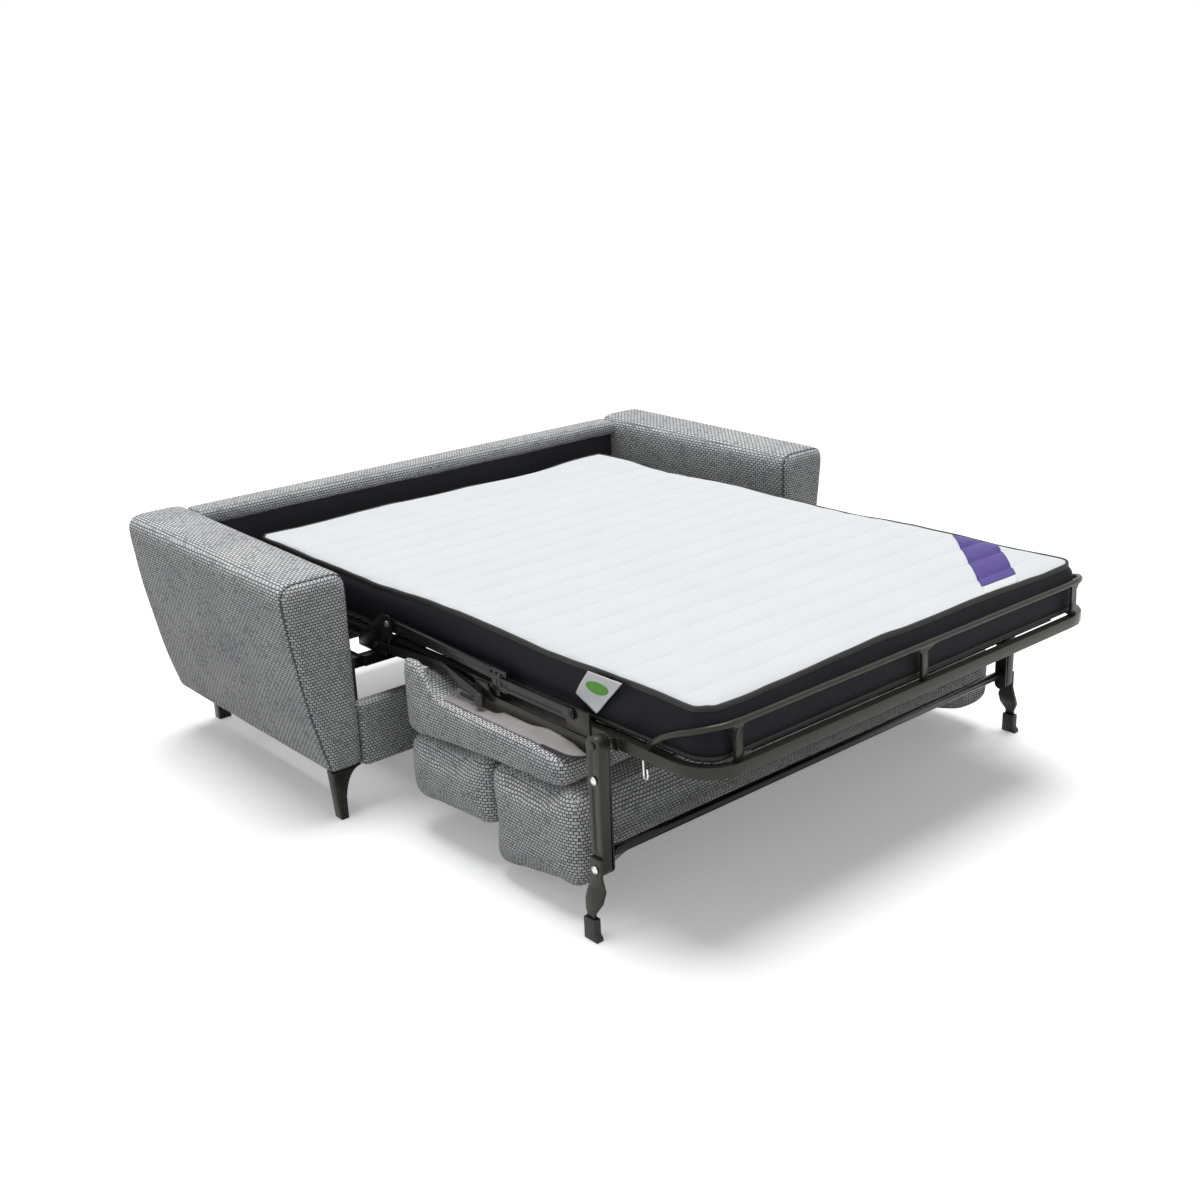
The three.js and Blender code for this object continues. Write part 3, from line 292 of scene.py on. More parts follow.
def flecked_weave(name, rows_across):
    """Thick yarns in rows, each a light or dark fleck that stands up from the gaps, which are
    darkened with painted shade.
    """
    made, tree, shader = new_material(name, YARN_MID, roughness=0.9)
    place, flat = cloth_plane(tree, rows_across)
    given = {"Vector": place, "Scale": SWAY_SCALE, "Detail": 2.0}
    drift = add(tree, "ShaderNodeTexNoise", given).outputs["Color"]
    given = {0: drift, 1: YARN_SWAY, 2: flat}
    sway = add(tree, "ShaderNodeVectorMath", given, operation="MULTIPLY_ADD")
    yarns = add(tree, "ShaderNodeTexBrick", {
        "Vector": sway.outputs[0], "Scale": 1.0,
        "Brick Width": CENTIMETRES * YARN_SIZE[0], "Row Height": CENTIMETRES * YARN_SIZE[1],
        "Mortar Size": YARN_GAP, "Mortar Smooth": 1.0,
        "Color1": (0.0, 0.0, 0.0, 1.0), "Color2": WHITE, "Mortar": (0.5, 0.5, 0.5, 1.0),
    }, offset=0.5)
    fleck = color_ramp(
        tree, yarns.outputs["Color"],
        (0.0, YARN_DARK), (0.25, YARN_MID), (0.60, YARN_PALE), (0.95, YARN_LIGHT),
    )
    # Painted shade: the gaps between the yarns are darkened in the colour, on top of their bump
    gap = color_ramp(tree, yarns.outputs["Fac"], (0.20, WHITE), (0.85, GAP_PAINTED_SHADE))
    rubbed = noise_value(tree, place, RUBBED_SCALE, detail=4.0)
    wear = color_ramp(tree, rubbed, (0.35, RUBBED_SHADE), (0.65, WHITE))
    color = fleck
    for layer in (gap, wear):
        given = {"A": color, "B": layer, "Factor": 1.0}
        shade = add(tree, "ShaderNodeMix", given, data_type="RGBA", blend_type="MULTIPLY")
        color = shade.outputs["Result"]
    tree.links.new(color, shader.inputs["Base Color"])
    fibre = arithmetic(tree, "MULTIPLY", noise_value(tree, place, FIBRE_SCALE), FIBRE_SHARE)
    rise = arithmetic(tree, "SUBTRACT", fibre, yarns.outputs["Fac"])
    raise_surface(tree, shader, rise, YARN_RELIEF, strength=0.9)
    shader.inputs["Specular IOR Level"].default_value = 0.2
    shader.inputs["Sheen Weight"].default_value = 0.12
    shader.inputs["Sheen Roughness"].default_value = 0.5
    return made


def show(name, mesh, *finishes):
    piece = bpy.data.objects.new(name, mesh)
    scene.collection.objects.link(piece)
    for one in finishes:
        mesh.materials.append(one)
    return piece


def drawn(name, points, edges, faces, finish):
    """A piece made from its points, edges and faces."""
    mesh = bpy.data.meshes.new(name)
    mesh.from_pydata(points, edges, faces)
    return show(name, mesh, finish)


def copy_of(node, name, finish):
    """A piece with the mesh of a CAD node, its loose triangles joined."""
    mesh = nodes[node].data.copy()
    mesh.materials.clear()
    work = bmesh.new()
    work.from_mesh(mesh)
    bmesh.ops.remove_doubles(work, verts=work.verts, dist=MERGE_REACH)
    bmesh.ops.recalc_face_normals(work, faces=work.faces)
    work.to_mesh(mesh)
    work.free()
    if "custom_normal" in mesh.attributes:
        mesh.attributes.remove(mesh.attributes["custom_normal"])
    return show(name, mesh, finish)


def settle(piece):
    """Turns what the modifiers make of a piece into its plain mesh."""
    graph = bpy.context.evaluated_depsgraph_get()
    made = bpy.data.meshes.new_from_object(piece.evaluated_get(graph))
    piece.modifiers.clear()
    piece.data = made
    return piece


def remesh(piece, cell, rounds):
    """Rounds a solid's edges by building its skin again from small cells."""
    grid = piece.modifiers.new("grid", "REMESH")
    grid.mode = "VOXEL"
    grid.voxel_size = cell
    soften = piece.modifiers.new("soften", "SMOOTH")
    soften.iterations = rounds
    return settle(piece)


def smooth(piece):
    piece.data.polygons.foreach_set("use_smooth", np.ones(len(piece.data.polygons), bool))
    piece.data.update()
    return piece


def places_of(piece):
    places = np.zeros(len(piece.data.vertices) * 3)
    piece.data.vertices.foreach_get("co", places)
    return places.reshape(-1, 3)


def set_places(piece, places):
    piece.data.vertices.foreach_set("co", np.asarray(places, float).ravel())
    piece.data.update()


def tube_along(name, points, radius, finish, closed=False, sides=3):
    """A round tube along a line of points."""
    curve = bpy.data.curves.new(name, "CURVE")
    curve.dimensions = "3D"
    curve.bevel_depth = radius
    curve.bevel_resolution = sides
    curve.use_fill_caps = True
    line = curve.splines.new("POLY")
    line.points.add(len(points) - 1)
    for spot, point in zip(line.points, points):
        spot.co = (*point, 1.0)
    line.use_cyclic_u = closed
    wire = bpy.data.objects.new(name, curve)
    scene.collection.objects.link(wire)
    graph = bpy.context.evaluated_depsgraph_get()
    mesh = bpy.data.meshes.new_from_object(wire.evaluated_get(graph))
    bpy.data.objects.remove(wire)
    mesh.materials.clear()
    return smooth(show(name, mesh, finish))


def arm_outline(steps=14):
    """The arm's outline from the front: out from its inner face, up from its underside."""
    height = ARM_HEIGHT - ARM_UNDERSIDE
    flare = ARM_TOP_WIDTH - ARM_FOOT_WIDTH
    bend = (ARM_FOOT_WIDTH + ARM_BEND[0] * flare, ARM_BEND[1] * ARM_FLARE)

    def arc(start, middle, end):
        for share in np.linspace(0.0, 1.0, steps):
            rest = 1.0 - share
            yield tuple(
                rest * rest * a + 2 * rest * share * b + share * share * c
                for a, b, c in zip(start, middle, end)
            )

    points = [(0.0, 0.0)]
    points += arc((ARM_FOOT_WIDTH, 0.0), bend, (ARM_TOP_WIDTH, ARM_FLARE))
    points += arc(
        (ARM_TOP_WIDTH, height - ARM_ROUND), (ARM_TOP_WIDTH, height),
        (ARM_TOP_WIDTH - ARM_ROUND, height),
    )
    points += arc((ARM_ROUND, height), (0.0, height), (0.0, height - ARM_ROUND))
    return points


def laid_on(piece, line, lift):
    """A line again, finer and laid on the surface of a piece."""
    surface = BVHTree.FromPolygons(
        [corner.co for corner in piece.data.vertices],
        [face.vertices for face in piece.data.polygons],
    )
    fine = []
    for start, end in zip(line, line[1:] + line[:1]):
        steps = max(1, round((end - start).length / SEAM_STEP))
        for step in range(steps):
            place, facing, _, _ = surface.find_nearest(start.lerp(end, step / steps))
            fine.append(place + facing * lift)
    return fine


def node_tool(name, *sizes):
    """An empty Geometry Nodes group with named sizes and a finish, and its end nodes."""
    group = bpy.data.node_groups.new(name, "GeometryNodeTree")
    numbers = [(size, "Float") for size in sizes]
    for label, kind in [("Geometry", "Geometry"), *numbers, ("Finish", "Material")]:
        group.interface.new_socket(label, in_out="INPUT", socket_type=f"NodeSocket{kind}")
    group.interface.new_socket("Geometry", in_out="OUTPUT", socket_type="NodeSocketGeometry")
    start = add(group, "NodeGroupInput")
    real = add(group, "GeometryNodeRealizeInstances")
    paint = add(
        group, "GeometryNodeSetMaterial",
        {"Geometry": real.outputs[0], "Material": start.outputs["Finish"]},
    )
    add(group, "NodeGroupOutput", {0: paint.outputs[0]})
    return group, start.outputs, real.inputs[0]


def run_tool(piece, group, values):
    """Gives the group's named inputs their values, and keeps what it makes as plain mesh."""
    worker = piece.modifiers.new("tool", "NODES")
    worker.node_group = group
    for item in group.interface.items_tree:
        if item.item_type == "SOCKET" and item.in_out == "INPUT" and item.name in values:
            worker[item.identifier] = values[item.name]
    settle(piece)
    return smooth(piece)


def make_stitch_tool():
    """Stitches set along a line: a small capsule every pitch, turned to follow it."""
    group, sizes, made = node_tool(
        "stitches", "Pitch", "Stitch Width", "Stitch Height", "Stitch Length",
    )
    line = add(group, "GeometryNodeMeshToCurve", {0: sizes["Geometry"]})
    spaced = add(
        group, "GeometryNodeResampleCurve",
        {"Curve": line.outputs[0], "Length": sizes["Pitch"]}, mode="LENGTH",
    )
    ball = add(group, "GeometryNodeMeshIcoSphere", {"Radius": 1.0, "Subdivisions": 2})
    size = add(group, "ShaderNodeCombineXYZ", {
        0: sizes["Stitch Width"], 1: sizes["Stitch Height"], 2: sizes["Stitch Length"],
    })
    given = {"Geometry": ball.outputs[0], "Scale": size.outputs[0]}
    stitch = add(group, "GeometryNodeTransform", given)
    given = {"Vector": add(group, "GeometryNodeInputTangent").outputs[0]}
    heading = add(group, "FunctionNodeAlignRotationToVector", given, axis="Z")
    placed = add(group, "GeometryNodeInstanceOnPoints", {
        "Points": spaced.outputs[0], "Instance": stitch.outputs[0],
        "Rotation": heading.outputs[0],
    })
    group.links.new(placed.outputs[0], made)
    return group


stitch_tool = make_stitch_tool()


def stitch_row(name, line, finish):
    edges = [(step, step + 1) for step in range(len(line) - 1)]
    width, height, length = STITCH_SIZE
    return run_tool(drawn(name, line, edges, [], finish), stitch_tool, {
        "Pitch": STITCH_PITCH, "Stitch Width": width, "Stitch Height": height,
        "Stitch Length": length, "Finish": finish,
    })


seam_thread, _, _ = grained(
    "seam_thread", THREAD_GREY, roughness=0.8, scale=1500.0, distance=0.0004, strength=0.5,
)
arm_weave = flecked_weave("arm_weave", rows_across=False)
weave = flecked_weave("seat_weave", rows_across=True)

for side, sign in (("left", -1.0), ("right", 1.0)):
    arm = copy_of(f"arm_{side}", f"arm_cover_{side}", arm_weave)
    remesh(arm, ARM_CELL, rounds=5)
    places = places_of(arm)
    for index, place in enumerate(places):
        ripple = noise.noise(Vector(place) * ARM_WAVES) * ARM_RIPPLE
        places[index][0] += sign * ripple
        places[index][1] += ripple
    set_places(arm, places)
    smooth(arm)
    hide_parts(f"arm_{side}")
    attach(arm, "base")
    for row, setback in enumerate(SEAM_SETBACKS):
        forward = ARM_DEPTH - setback
        line = []
        for out, up in arm_outline():
            rise = up / (ARM_HEIGHT - ARM_UNDERSIDE)
            line.append(Vector((
                sign * (ARM_INNER + out), OPEN_HALF - forward,
                ARM_UNDERSIDE + up - ARM_DROP * rise * forward / ARM_DEPTH,
            )))
        if row == 0:
            path = laid_on(arm, line, SEAM_LIFT)
            seam = tube_along(f"arm_seam_{side}", path, SEAM_RADIUS, seam_thread, closed=True)
        else:
            path = laid_on(arm, line, STITCH_LIFT)
            seam = stitch_row(f"arm_stitches_{side}_{row}", path, seam_thread)
        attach(seam, "base")

# Back: a low padded wall between the arms with a soft roll along its top, covered
# in the same weave, and a black lining cloth stretched over its inner side.
BACK_CELL = 0.010
LINING_BLACK = (0.012, 0.012, 0.016, 1.0)
LINING_COLUMNS = 120
LINING_ROWS = 34
LINING_FOOT = 0.152
LINING_GAP = 0.002
LINING_WAVE = 0.004
LINING_WAVES = (3.0, 2.2)
LINING_FOLD = 0.00175
LINING_FOLDS = (9.0, 14.0)
LINING_BEND = 3.0
LINING_THICKNESS = 0.0012


def upholster(node, cell):
    """A panel's solid again with its edges rounded, covered in the weave."""
    cover = copy_of(node, f"{node}_cover", weave)
    remesh(cover, cell, rounds=3)
    smooth(cover)
    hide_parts(node)
    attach(cover, "base")


upholster("back", BACK_CELL)
lining_cloth, _, lining_shader = grained(
    "lining_cloth", LINING_BLACK, roughness=0.75, scale=900.0, distance=0.0006, strength=0.5,
)
lining_shader.inputs["Sheen Weight"].default_value = 0.15


def grid_faces(rows, columns, turned=False):
    """Faces over points given row by row; turned, they face the other way."""
    faces = []
    for row in range(rows - 1):
        for column in range(columns - 1):
            first, after = row * columns + column, (row + 1) * columns + column
            face = (first, first + 1, after + 1, after)
            faces.append((first, after, after + 1, first + 1) if turned else face)
    return faces


def thicken(piece, thickness, offset=0.0):
    """Gives a cloth's surface its thickness."""
    wall = piece.modifiers.new("thickness", "SOLIDIFY")
    wall.thickness = thickness
    wall.offset = offset
    settle(piece)
    return smooth(piece)


def cloth_strip(name, places, thickness, finish):
    """A thin closed strip of cloth over rows of points."""
    points = [place for row in places for place in row]
    faces = grid_faces(len(places), len(places[0]))
    return thicken(drawn(name, points, [], faces, finish), thickness)


def rows_of(place, rows, columns):
    """Rows of points, from a function of how far across and how far along each lies."""
    return [
        [place(column / columns, row / rows) for column in range(columns + 1)]
        for row in range(rows + 1)
    ]


def drift(across, along, waves, seed):
    """A random value that drifts over a surface, the faster the more waves it has each way."""
    return noise.noise(Vector((across * waves[0], along * waves[1], seed)))


def lining_place(across, up):
    """A point of the back's lining, which stands a little off the panel in soft waves."""
    x = lining_low.x + (lining_high.x - lining_low.x) * across
    z = LINING_FOOT + (lining_high.z - LINING_FOOT) * up
    wave = LINING_WAVE * drift(x, z, LINING_WAVES, seed=1.7)
    bend = LINING_BEND * drift(x, z, (1.0, 1.0), seed=5.0)
    fold = LINING_FOLD * math.sin(x * LINING_FOLDS[0] + z * LINING_FOLDS[1] + bend)
    return x, lining_low.y - LINING_GAP - abs(wave) - abs(fold), z


lining_low, lining_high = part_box("back_lining")
lining_rows = rows_of(lining_place, LINING_ROWS, LINING_COLUMNS)
lining = cloth_strip("back_lining_cloth", lining_rows, LINING_THICKNESS, lining_cloth)
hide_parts("back_lining")
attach(lining, "base")

# Front rail: the wooden board that joins the arms under the seat, thinly padded and
# wrapped in the same weave as the back.
RAIL_CELL = 0.008
upholster("front_rail", RAIL_CELL)

# Sofa legs: blade-shaped feet of black lacquered metal, screwed under the arms, and
# two plain tapered feet under the back.
LACQUER_BLACK = (0.018, 0.018, 0.015, 1.0)
EDGE_ROUND = 0.0009
THICK_EDGE_ROUND = 0.0015
FLAT_ANGLE = math.radians(1.0)
EDGE_ANGLE = math.radians(50)
SMOOTH_ANGLE = math.radians(40)


def lacquered(name, color, roughness, grain=0.10, metallic=0.75):
    """Lacquered steel whose gloss is a little uneven and whose coat has a fine peel."""
    made, tree, shader = new_material(name, color, roughness, metallic)
    place = object_place(tree)
    spread = add(tree, "ShaderNodeMapRange", {
        "Value": noise_value(tree, place, scale=18.0, detail=6.0),
        "To Min": roughness - grain, "To Max": roughness + grain,
    })
    tree.links.new(spread.outputs["Result"], shader.inputs["Roughness"])
    peel = noise_value(tree, place, scale=420.0)
    raise_surface(tree, shader, peel, distance=0.0004, strength=0.25)
    shader.inputs["Coat Weight"].default_value = 0.08
    shader.inputs["Specular IOR Level"].default_value = 0.3
    shader.inputs["Coat Roughness"].default_value = 0.12
    return made


def dress_metal(node, finish, body, edge=EDGE_ROUND):
    """A CAD piece again with its sharp edges rounded, standing for the node."""
    piece = copy_of(node, f"{node}_metal", finish)
    work = bmesh.new()
    work.from_mesh(piece.data)
    bmesh.ops.dissolve_limit(work, angle_limit=FLAT_ANGLE, verts=work.verts, edges=work.edges)
    work.to_mesh(piece.data)
    work.free()
    rounding = piece.modifiers.new("edges", "BEVEL")
    rounding.width = edge
    rounding.segments = 2
    rounding.limit_method = "ANGLE"
    rounding.angle_limit = EDGE_ANGLE
    settle(piece)
    work = bmesh.new()
    work.from_mesh(piece.data)
    for line in work.edges:
        line.smooth = line.calc_face_angle(0.0) < SMOOTH_ANGLE
    for face in work.faces:
        face.smooth = True
    bmesh.ops.triangulate(work, faces=[face for face in work.faces if len(face.verts) > 4])
    work.to_mesh(piece.data)
    work.free()
    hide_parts(node)
    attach(piece, body)
    return piece


black_lacquer = lacquered("black_lacquer", LACQUER_BLACK, roughness=0.28)
for node in ("front_leg_left", "front_leg_right", "rear_leg_left", "rear_leg_right"):
    dress_metal(node, black_lacquer, "base", THICK_EDGE_ROUND)

# Base sides: boards screwed inside the arms, wrapped in the same black lining cloth
# as the back, so nothing pale shows in the well under the bed.
for node in ("base_side_left", "base_side_right"):
    dress_metal(node, lining_cloth, "base", THICK_EDGE_ROUND)

# Steel of the base and of the bed frame: pressed bars and square tubes in a dark
# gun-metal lacquer, a little more olive on the legs, the hoop and the seat plates.
GUN_METAL = (0.009, 0.009, 0.0095, 1.0)
OLIVE_METAL = (0.036, 0.0355, 0.0295, 1.0)
gun_metal = lacquered("gun_metal", GUN_METAL, roughness=0.24, grain=0.06, metallic=0.3)
olive_metal = lacquered("olive_metal", OLIVE_METAL, roughness=0.32, grain=0.08, metallic=0.4)
FRAME_PIECES = {
    "base": ["side_tube_left", "side_tube_right", "front_tube", "rear_tube",
             "hinge_bracket_left", "hinge_bracket_right", "head_frame"],
    "middle": ["middle_frame", "upper_bar_left", "upper_bar_right"],
    "links": ["link_arm_left", "link_arm_right"],
    "guides": ["guide_bar_left", "guide_bar_right"],
    "bed_legs": ["leg_stay_left", "leg_stay_right"],
}
OLIVE_PIECES = {
    "foot": ["foot_frame"],
    "middle": ["seat_plate_left", "seat_plate_right"],
    "bed_legs": ["bed_leg_left", "bed_leg_right", "foot_bar_left", "foot_bar_right"],
}
for pieces, finish, slot_name in (
    (FRAME_PIECES, gun_metal, "lacquer"), (OLIVE_PIECES, olive_metal, "olive"),
):
    for body, members in pieces.items():
        for node in members:
            dress_metal(node, finish, body)

# Wire nets: flat steel wires over each of the three frame sections, welded where they
# cross. They carry the mattress, and have the same lacquer as the frame.
for node in ("head_net", "middle_net", "foot_net"):
    nodes[node].data.materials.clear()
    nodes[node].data.materials.append(gun_metal)

# Hoop and leg tube: round steel tube, bent and welded, so the copies are smoothed. The
# hoop's tube is drawn thinner than its solid, as the photograph shows it; its struts,
# which stand below HOOP_LEVEL at the foot, keep their size.
HOOP_THINNING = 0.0032
HOOP_LEVEL = 0.5535
HOOP_STRUT_DEPTH = 2.108
HOOP_FOOT_LEVEL = 0.480
SHARP_EDGE = math.radians(52)


def finer_skin(piece):
    """Splits a piece's faces once into smaller ones, which rounds it."""
    finer = piece.modifiers.new("finer", "SUBSURF")
    finer.levels = 1
    finer.render_levels = 1
    settle(piece)
    return smooth(piece)


for node, body, finish, slot_name in (
    ("hoop", "foot", olive_metal, "olive"), ("leg_tube", "bed_legs", gun_metal, "lacquer"),
):
    tube = copy_of(node, f"{node}_metal", finish)
    work = bmesh.new()
    work.from_mesh(tube.data)
    crease = work.edges.layers.float.new("crease_edge")
    for line in work.edges:
        line[crease] = 1.0 if line.calc_face_angle(0.0) > SHARP_EDGE else 0.0
    if node == "hoop":
        work.normal_update()
        for point in work.verts:
            on_tube = point.co.z > HOOP_LEVEL or point.co.y > OPEN_HALF - HOOP_STRUT_DEPTH
            if on_tube and point.co.z > HOOP_FOOT_LEVEL:
                point.co -= point.normal * HOOP_THINNING
    work.to_mesh(tube.data)
    work.free()
    finer_skin(tube)
    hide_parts(node)
    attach(tube, body)

# Small parts of the frame: main pivots and latch wires of bright zinc steel, riveted or
# hooked in, and guide rollers and foot caps of black plastic, pushed on their bars.
ZINC = (0.70, 0.70, 0.68, 1.0)
CAP_BLACK = (0.012, 0.012, 0.012, 1.0)
zinc_steel, _, _ = grained(
    "zinc_steel", ZINC, roughness=0.28, metallic=1.0, scale=300.0, distance=0.0003, strength=0.3,
)
cap_plastic, _, _ = grained(
    "cap_plastic", CAP_BLACK, roughness=0.5, scale=700.0, distance=0.0004, strength=0.5,
)
# Each part with its finish, slot, body and the rounding of its edges
SMALL_PARTS = (
    ("main_pivot", zinc_steel, "zinc", "base", 0.0005),
    ("latch_wire", zinc_steel, "zinc", "foot", 0.0002),
    ("guide_roller", cap_plastic, "plastic", "guides", 0.0012),
    ("foot_cap", cap_plastic, "plastic", "bed_legs", 0.0015),
)
for side in ("left", "right"):
    for part, finish, slot_name, body, edge in SMALL_PARTS:
        dress_metal(f"{part}_{side}", finish, body, edge)

# Mattress: foam in a quilted white cover, with a black border and a dark tape sewn
# round its upper and lower edge. It is built in three lengths, each closed at both ends.
MATTRESS_HALF = 0.700
MATTRESS_START = 0.155
MATTRESS_END = 2.105
MATTRESS_TOP = 0.6125
MATTRESS_LOW = 0.4756
MATTRESS_CORNER = 0.060
CORNER_STEPS = 9
COVER_INSET = 0.024
WALL_DROP = 0.130
FOOT_SAG = 0.009
SAG_DROP = 0.100
CHANNELS = 20
CHANNEL_PITCH = (MATTRESS_END - MATTRESS_START) / CHANNELS
CHANNEL_ROWS = (0.0, 0.03, 0.07, 0.13, 0.22, 0.36, 0.5, 0.64, 0.78, 0.87, 0.93, 0.97)
CHANNEL_DIP = 0.0075
DIP_REACH = 0.0125
CHANNEL_PUCKER = 0.0013
PUCKER_REACH = 0.018
SEAM_RIM = 0.030
COVER_ROLL = 0.011
ROLL_REACH = 0.022
COVER_SWELL = 0.0035
COVER_SINK = 0.0025
SWELL_WAVES = (2.4, 2.4)
GATHER_WAVES = (40.0, 7.0)
WAVE_RISE = 0.0120
RISE_WAVES = (3.6, 3.6)
WAVE_RIPPLE = 0.0016
RIPPLE_WAVES = (13.0, 13.0)
WAVE_REACH = 0.05
BORDER_RIPPLE = 0.0012
BORDER_WAVES = (14.0, 14.0)
BORDER_WAVES_DOWN = 30.0
ACROSS_STEPS = 110
COVER_WHITE = (0.775, 0.795, 0.812, 1.0)
BORDER_BLACK = (0.0100, 0.0090, 0.0125, 1.0)
COVER_SHADE = (0.760, 0.780, 0.797, 1.0)
TAPE_BROWN = (0.011, 0.0102, 0.0095, 1.0)
UNDER_GREY = (0.16, 0.16, 0.17, 1.0)
TAPE, BORDER, UNDERSIDE = 1, 2, 3
# How far the wall stands out from the cover's rim, how far up, and what it is made of
WALL_SHAPE = (
    (0.0006, -0.0010, 0), (0.0022, 0.0018, TAPE), (0.0060, 0.0024, TAPE), (0.0086, -0.0010, TAPE),
    (0.0092, -0.0070, TAPE), (0.0080, -0.0115, TAPE), (0.0098, -0.0145, BORDER),
    (0.0165, -0.0245, BORDER), (0.0212, -0.0390, BORDER), (0.0238, -0.0560, BORDER),
    (0.0246, -0.0740, BORDER), (0.0236, -0.0920, BORDER), (0.0208, -0.1075, BORDER),
    (0.0176, -0.1150, BORDER), (0.0170, -0.1165, TAPE), (0.0196, -0.1180, TAPE),
    (0.0202, -0.1245, TAPE), (0.0172, -0.1290, TAPE), (0.0120, -0.1300, UNDERSIDE),
)

row_shares = [channel + share for channel in range(CHANNELS) for share in CHANNEL_ROWS]
row_shares.append(float(CHANNELS))
row_depths = [MATTRESS_START + share * CHANNEL_PITCH for share in row_shares]
for step in range(1, CORNER_STEPS):
    into = MATTRESS_CORNER * (1 - math.cos(math.pi / 2 * step / CORNER_STEPS))
    row_depths += [MATTRESS_START + into, MATTRESS_END - into]
row_depths = sorted(set(round(depth, 5) for depth in row_depths))


def rounded_half(half, corner, lack):
    """Half a width, drawn in by a rounded corner at a place past the corner's start."""
    if lack <= 0:
        return half
    return half - corner + math.sqrt(max(corner ** 2 - lack ** 2, 0.0))


def mattress_half(depth):
    near_end = min(depth - MATTRESS_START, MATTRESS_END - depth)
    return rounded_half(MATTRESS_HALF, MATTRESS_CORNER, MATTRESS_CORNER - near_end)


def cover_reach(depth):
    """Half the cover's width at a depth, and the depth again, both drawn in from the border."""
    near_end = min(depth - MATTRESS_START, MATTRESS_END - depth)
    lack = max(MATTRESS_CORNER - near_end, 0.0) / MATTRESS_CORNER
    corner = (MATTRESS_CORNER - COVER_INSET) * math.sqrt(max(1.0 - lack ** 2, 0.0))
    shift = math.copysign(lack * COVER_INSET, (MATTRESS_START + MATTRESS_END) / 2 - depth)
    return MATTRESS_HALF - MATTRESS_CORNER + corner, depth + shift


def edge_wave(x, depth):
    """How far the cover's edge waves up or down at a place."""
    slow = WAVE_RISE * drift(x, depth, RISE_WAVES, seed=0.3)
    return slow + WAVE_RIPPLE * drift(x, depth, RIPPLE_WAVES, seed=4.3)


def cover_height(x, depth):
    """The quilted cover's height: channels that puff between seams, rolled at the rim."""
    along = (depth - MATTRESS_START) / CHANNEL_PITCH
    seam = abs(along - round(along)) * CHANNEL_PITCH
    rim = min(mattress_half(depth) - abs(x), depth - MATTRESS_START, MATTRESS_END - depth)
    rim = max(rim - COVER_INSET, 0.0)
    inner_seam = 0.0 if round(along) in (0, CHANNELS) else 1.0 - math.exp(-rim / SEAM_RIM)
    dip = inner_seam * CHANNEL_DIP * math.exp(-seam / DIP_REACH)
    gather = drift(x, round(along), GATHER_WAVES, seed=2.0)
    pucker = inner_seam * CHANNEL_PUCKER * math.exp(-seam / PUCKER_REACH) * gather
    swell = COVER_SWELL * drift(x, depth, SWELL_WAVES, seed=9.0)
    roll = COVER_ROLL * math.exp(-rim / ROLL_REACH)
    return MATTRESS_TOP - COVER_SINK + swell - dip + pucker - roll


def cover_top(x, depth, drawn_depth, half):
    """The cover's height with the slow waves of its edge."""
    rim_gap = min(half - abs(x), max(depth - MATTRESS_START, 0.0), max(MATTRESS_END - depth, 0.0))
    return cover_height(x, drawn_depth) + edge_wave(x, depth) * math.exp(-rim_gap / WAVE_REACH)


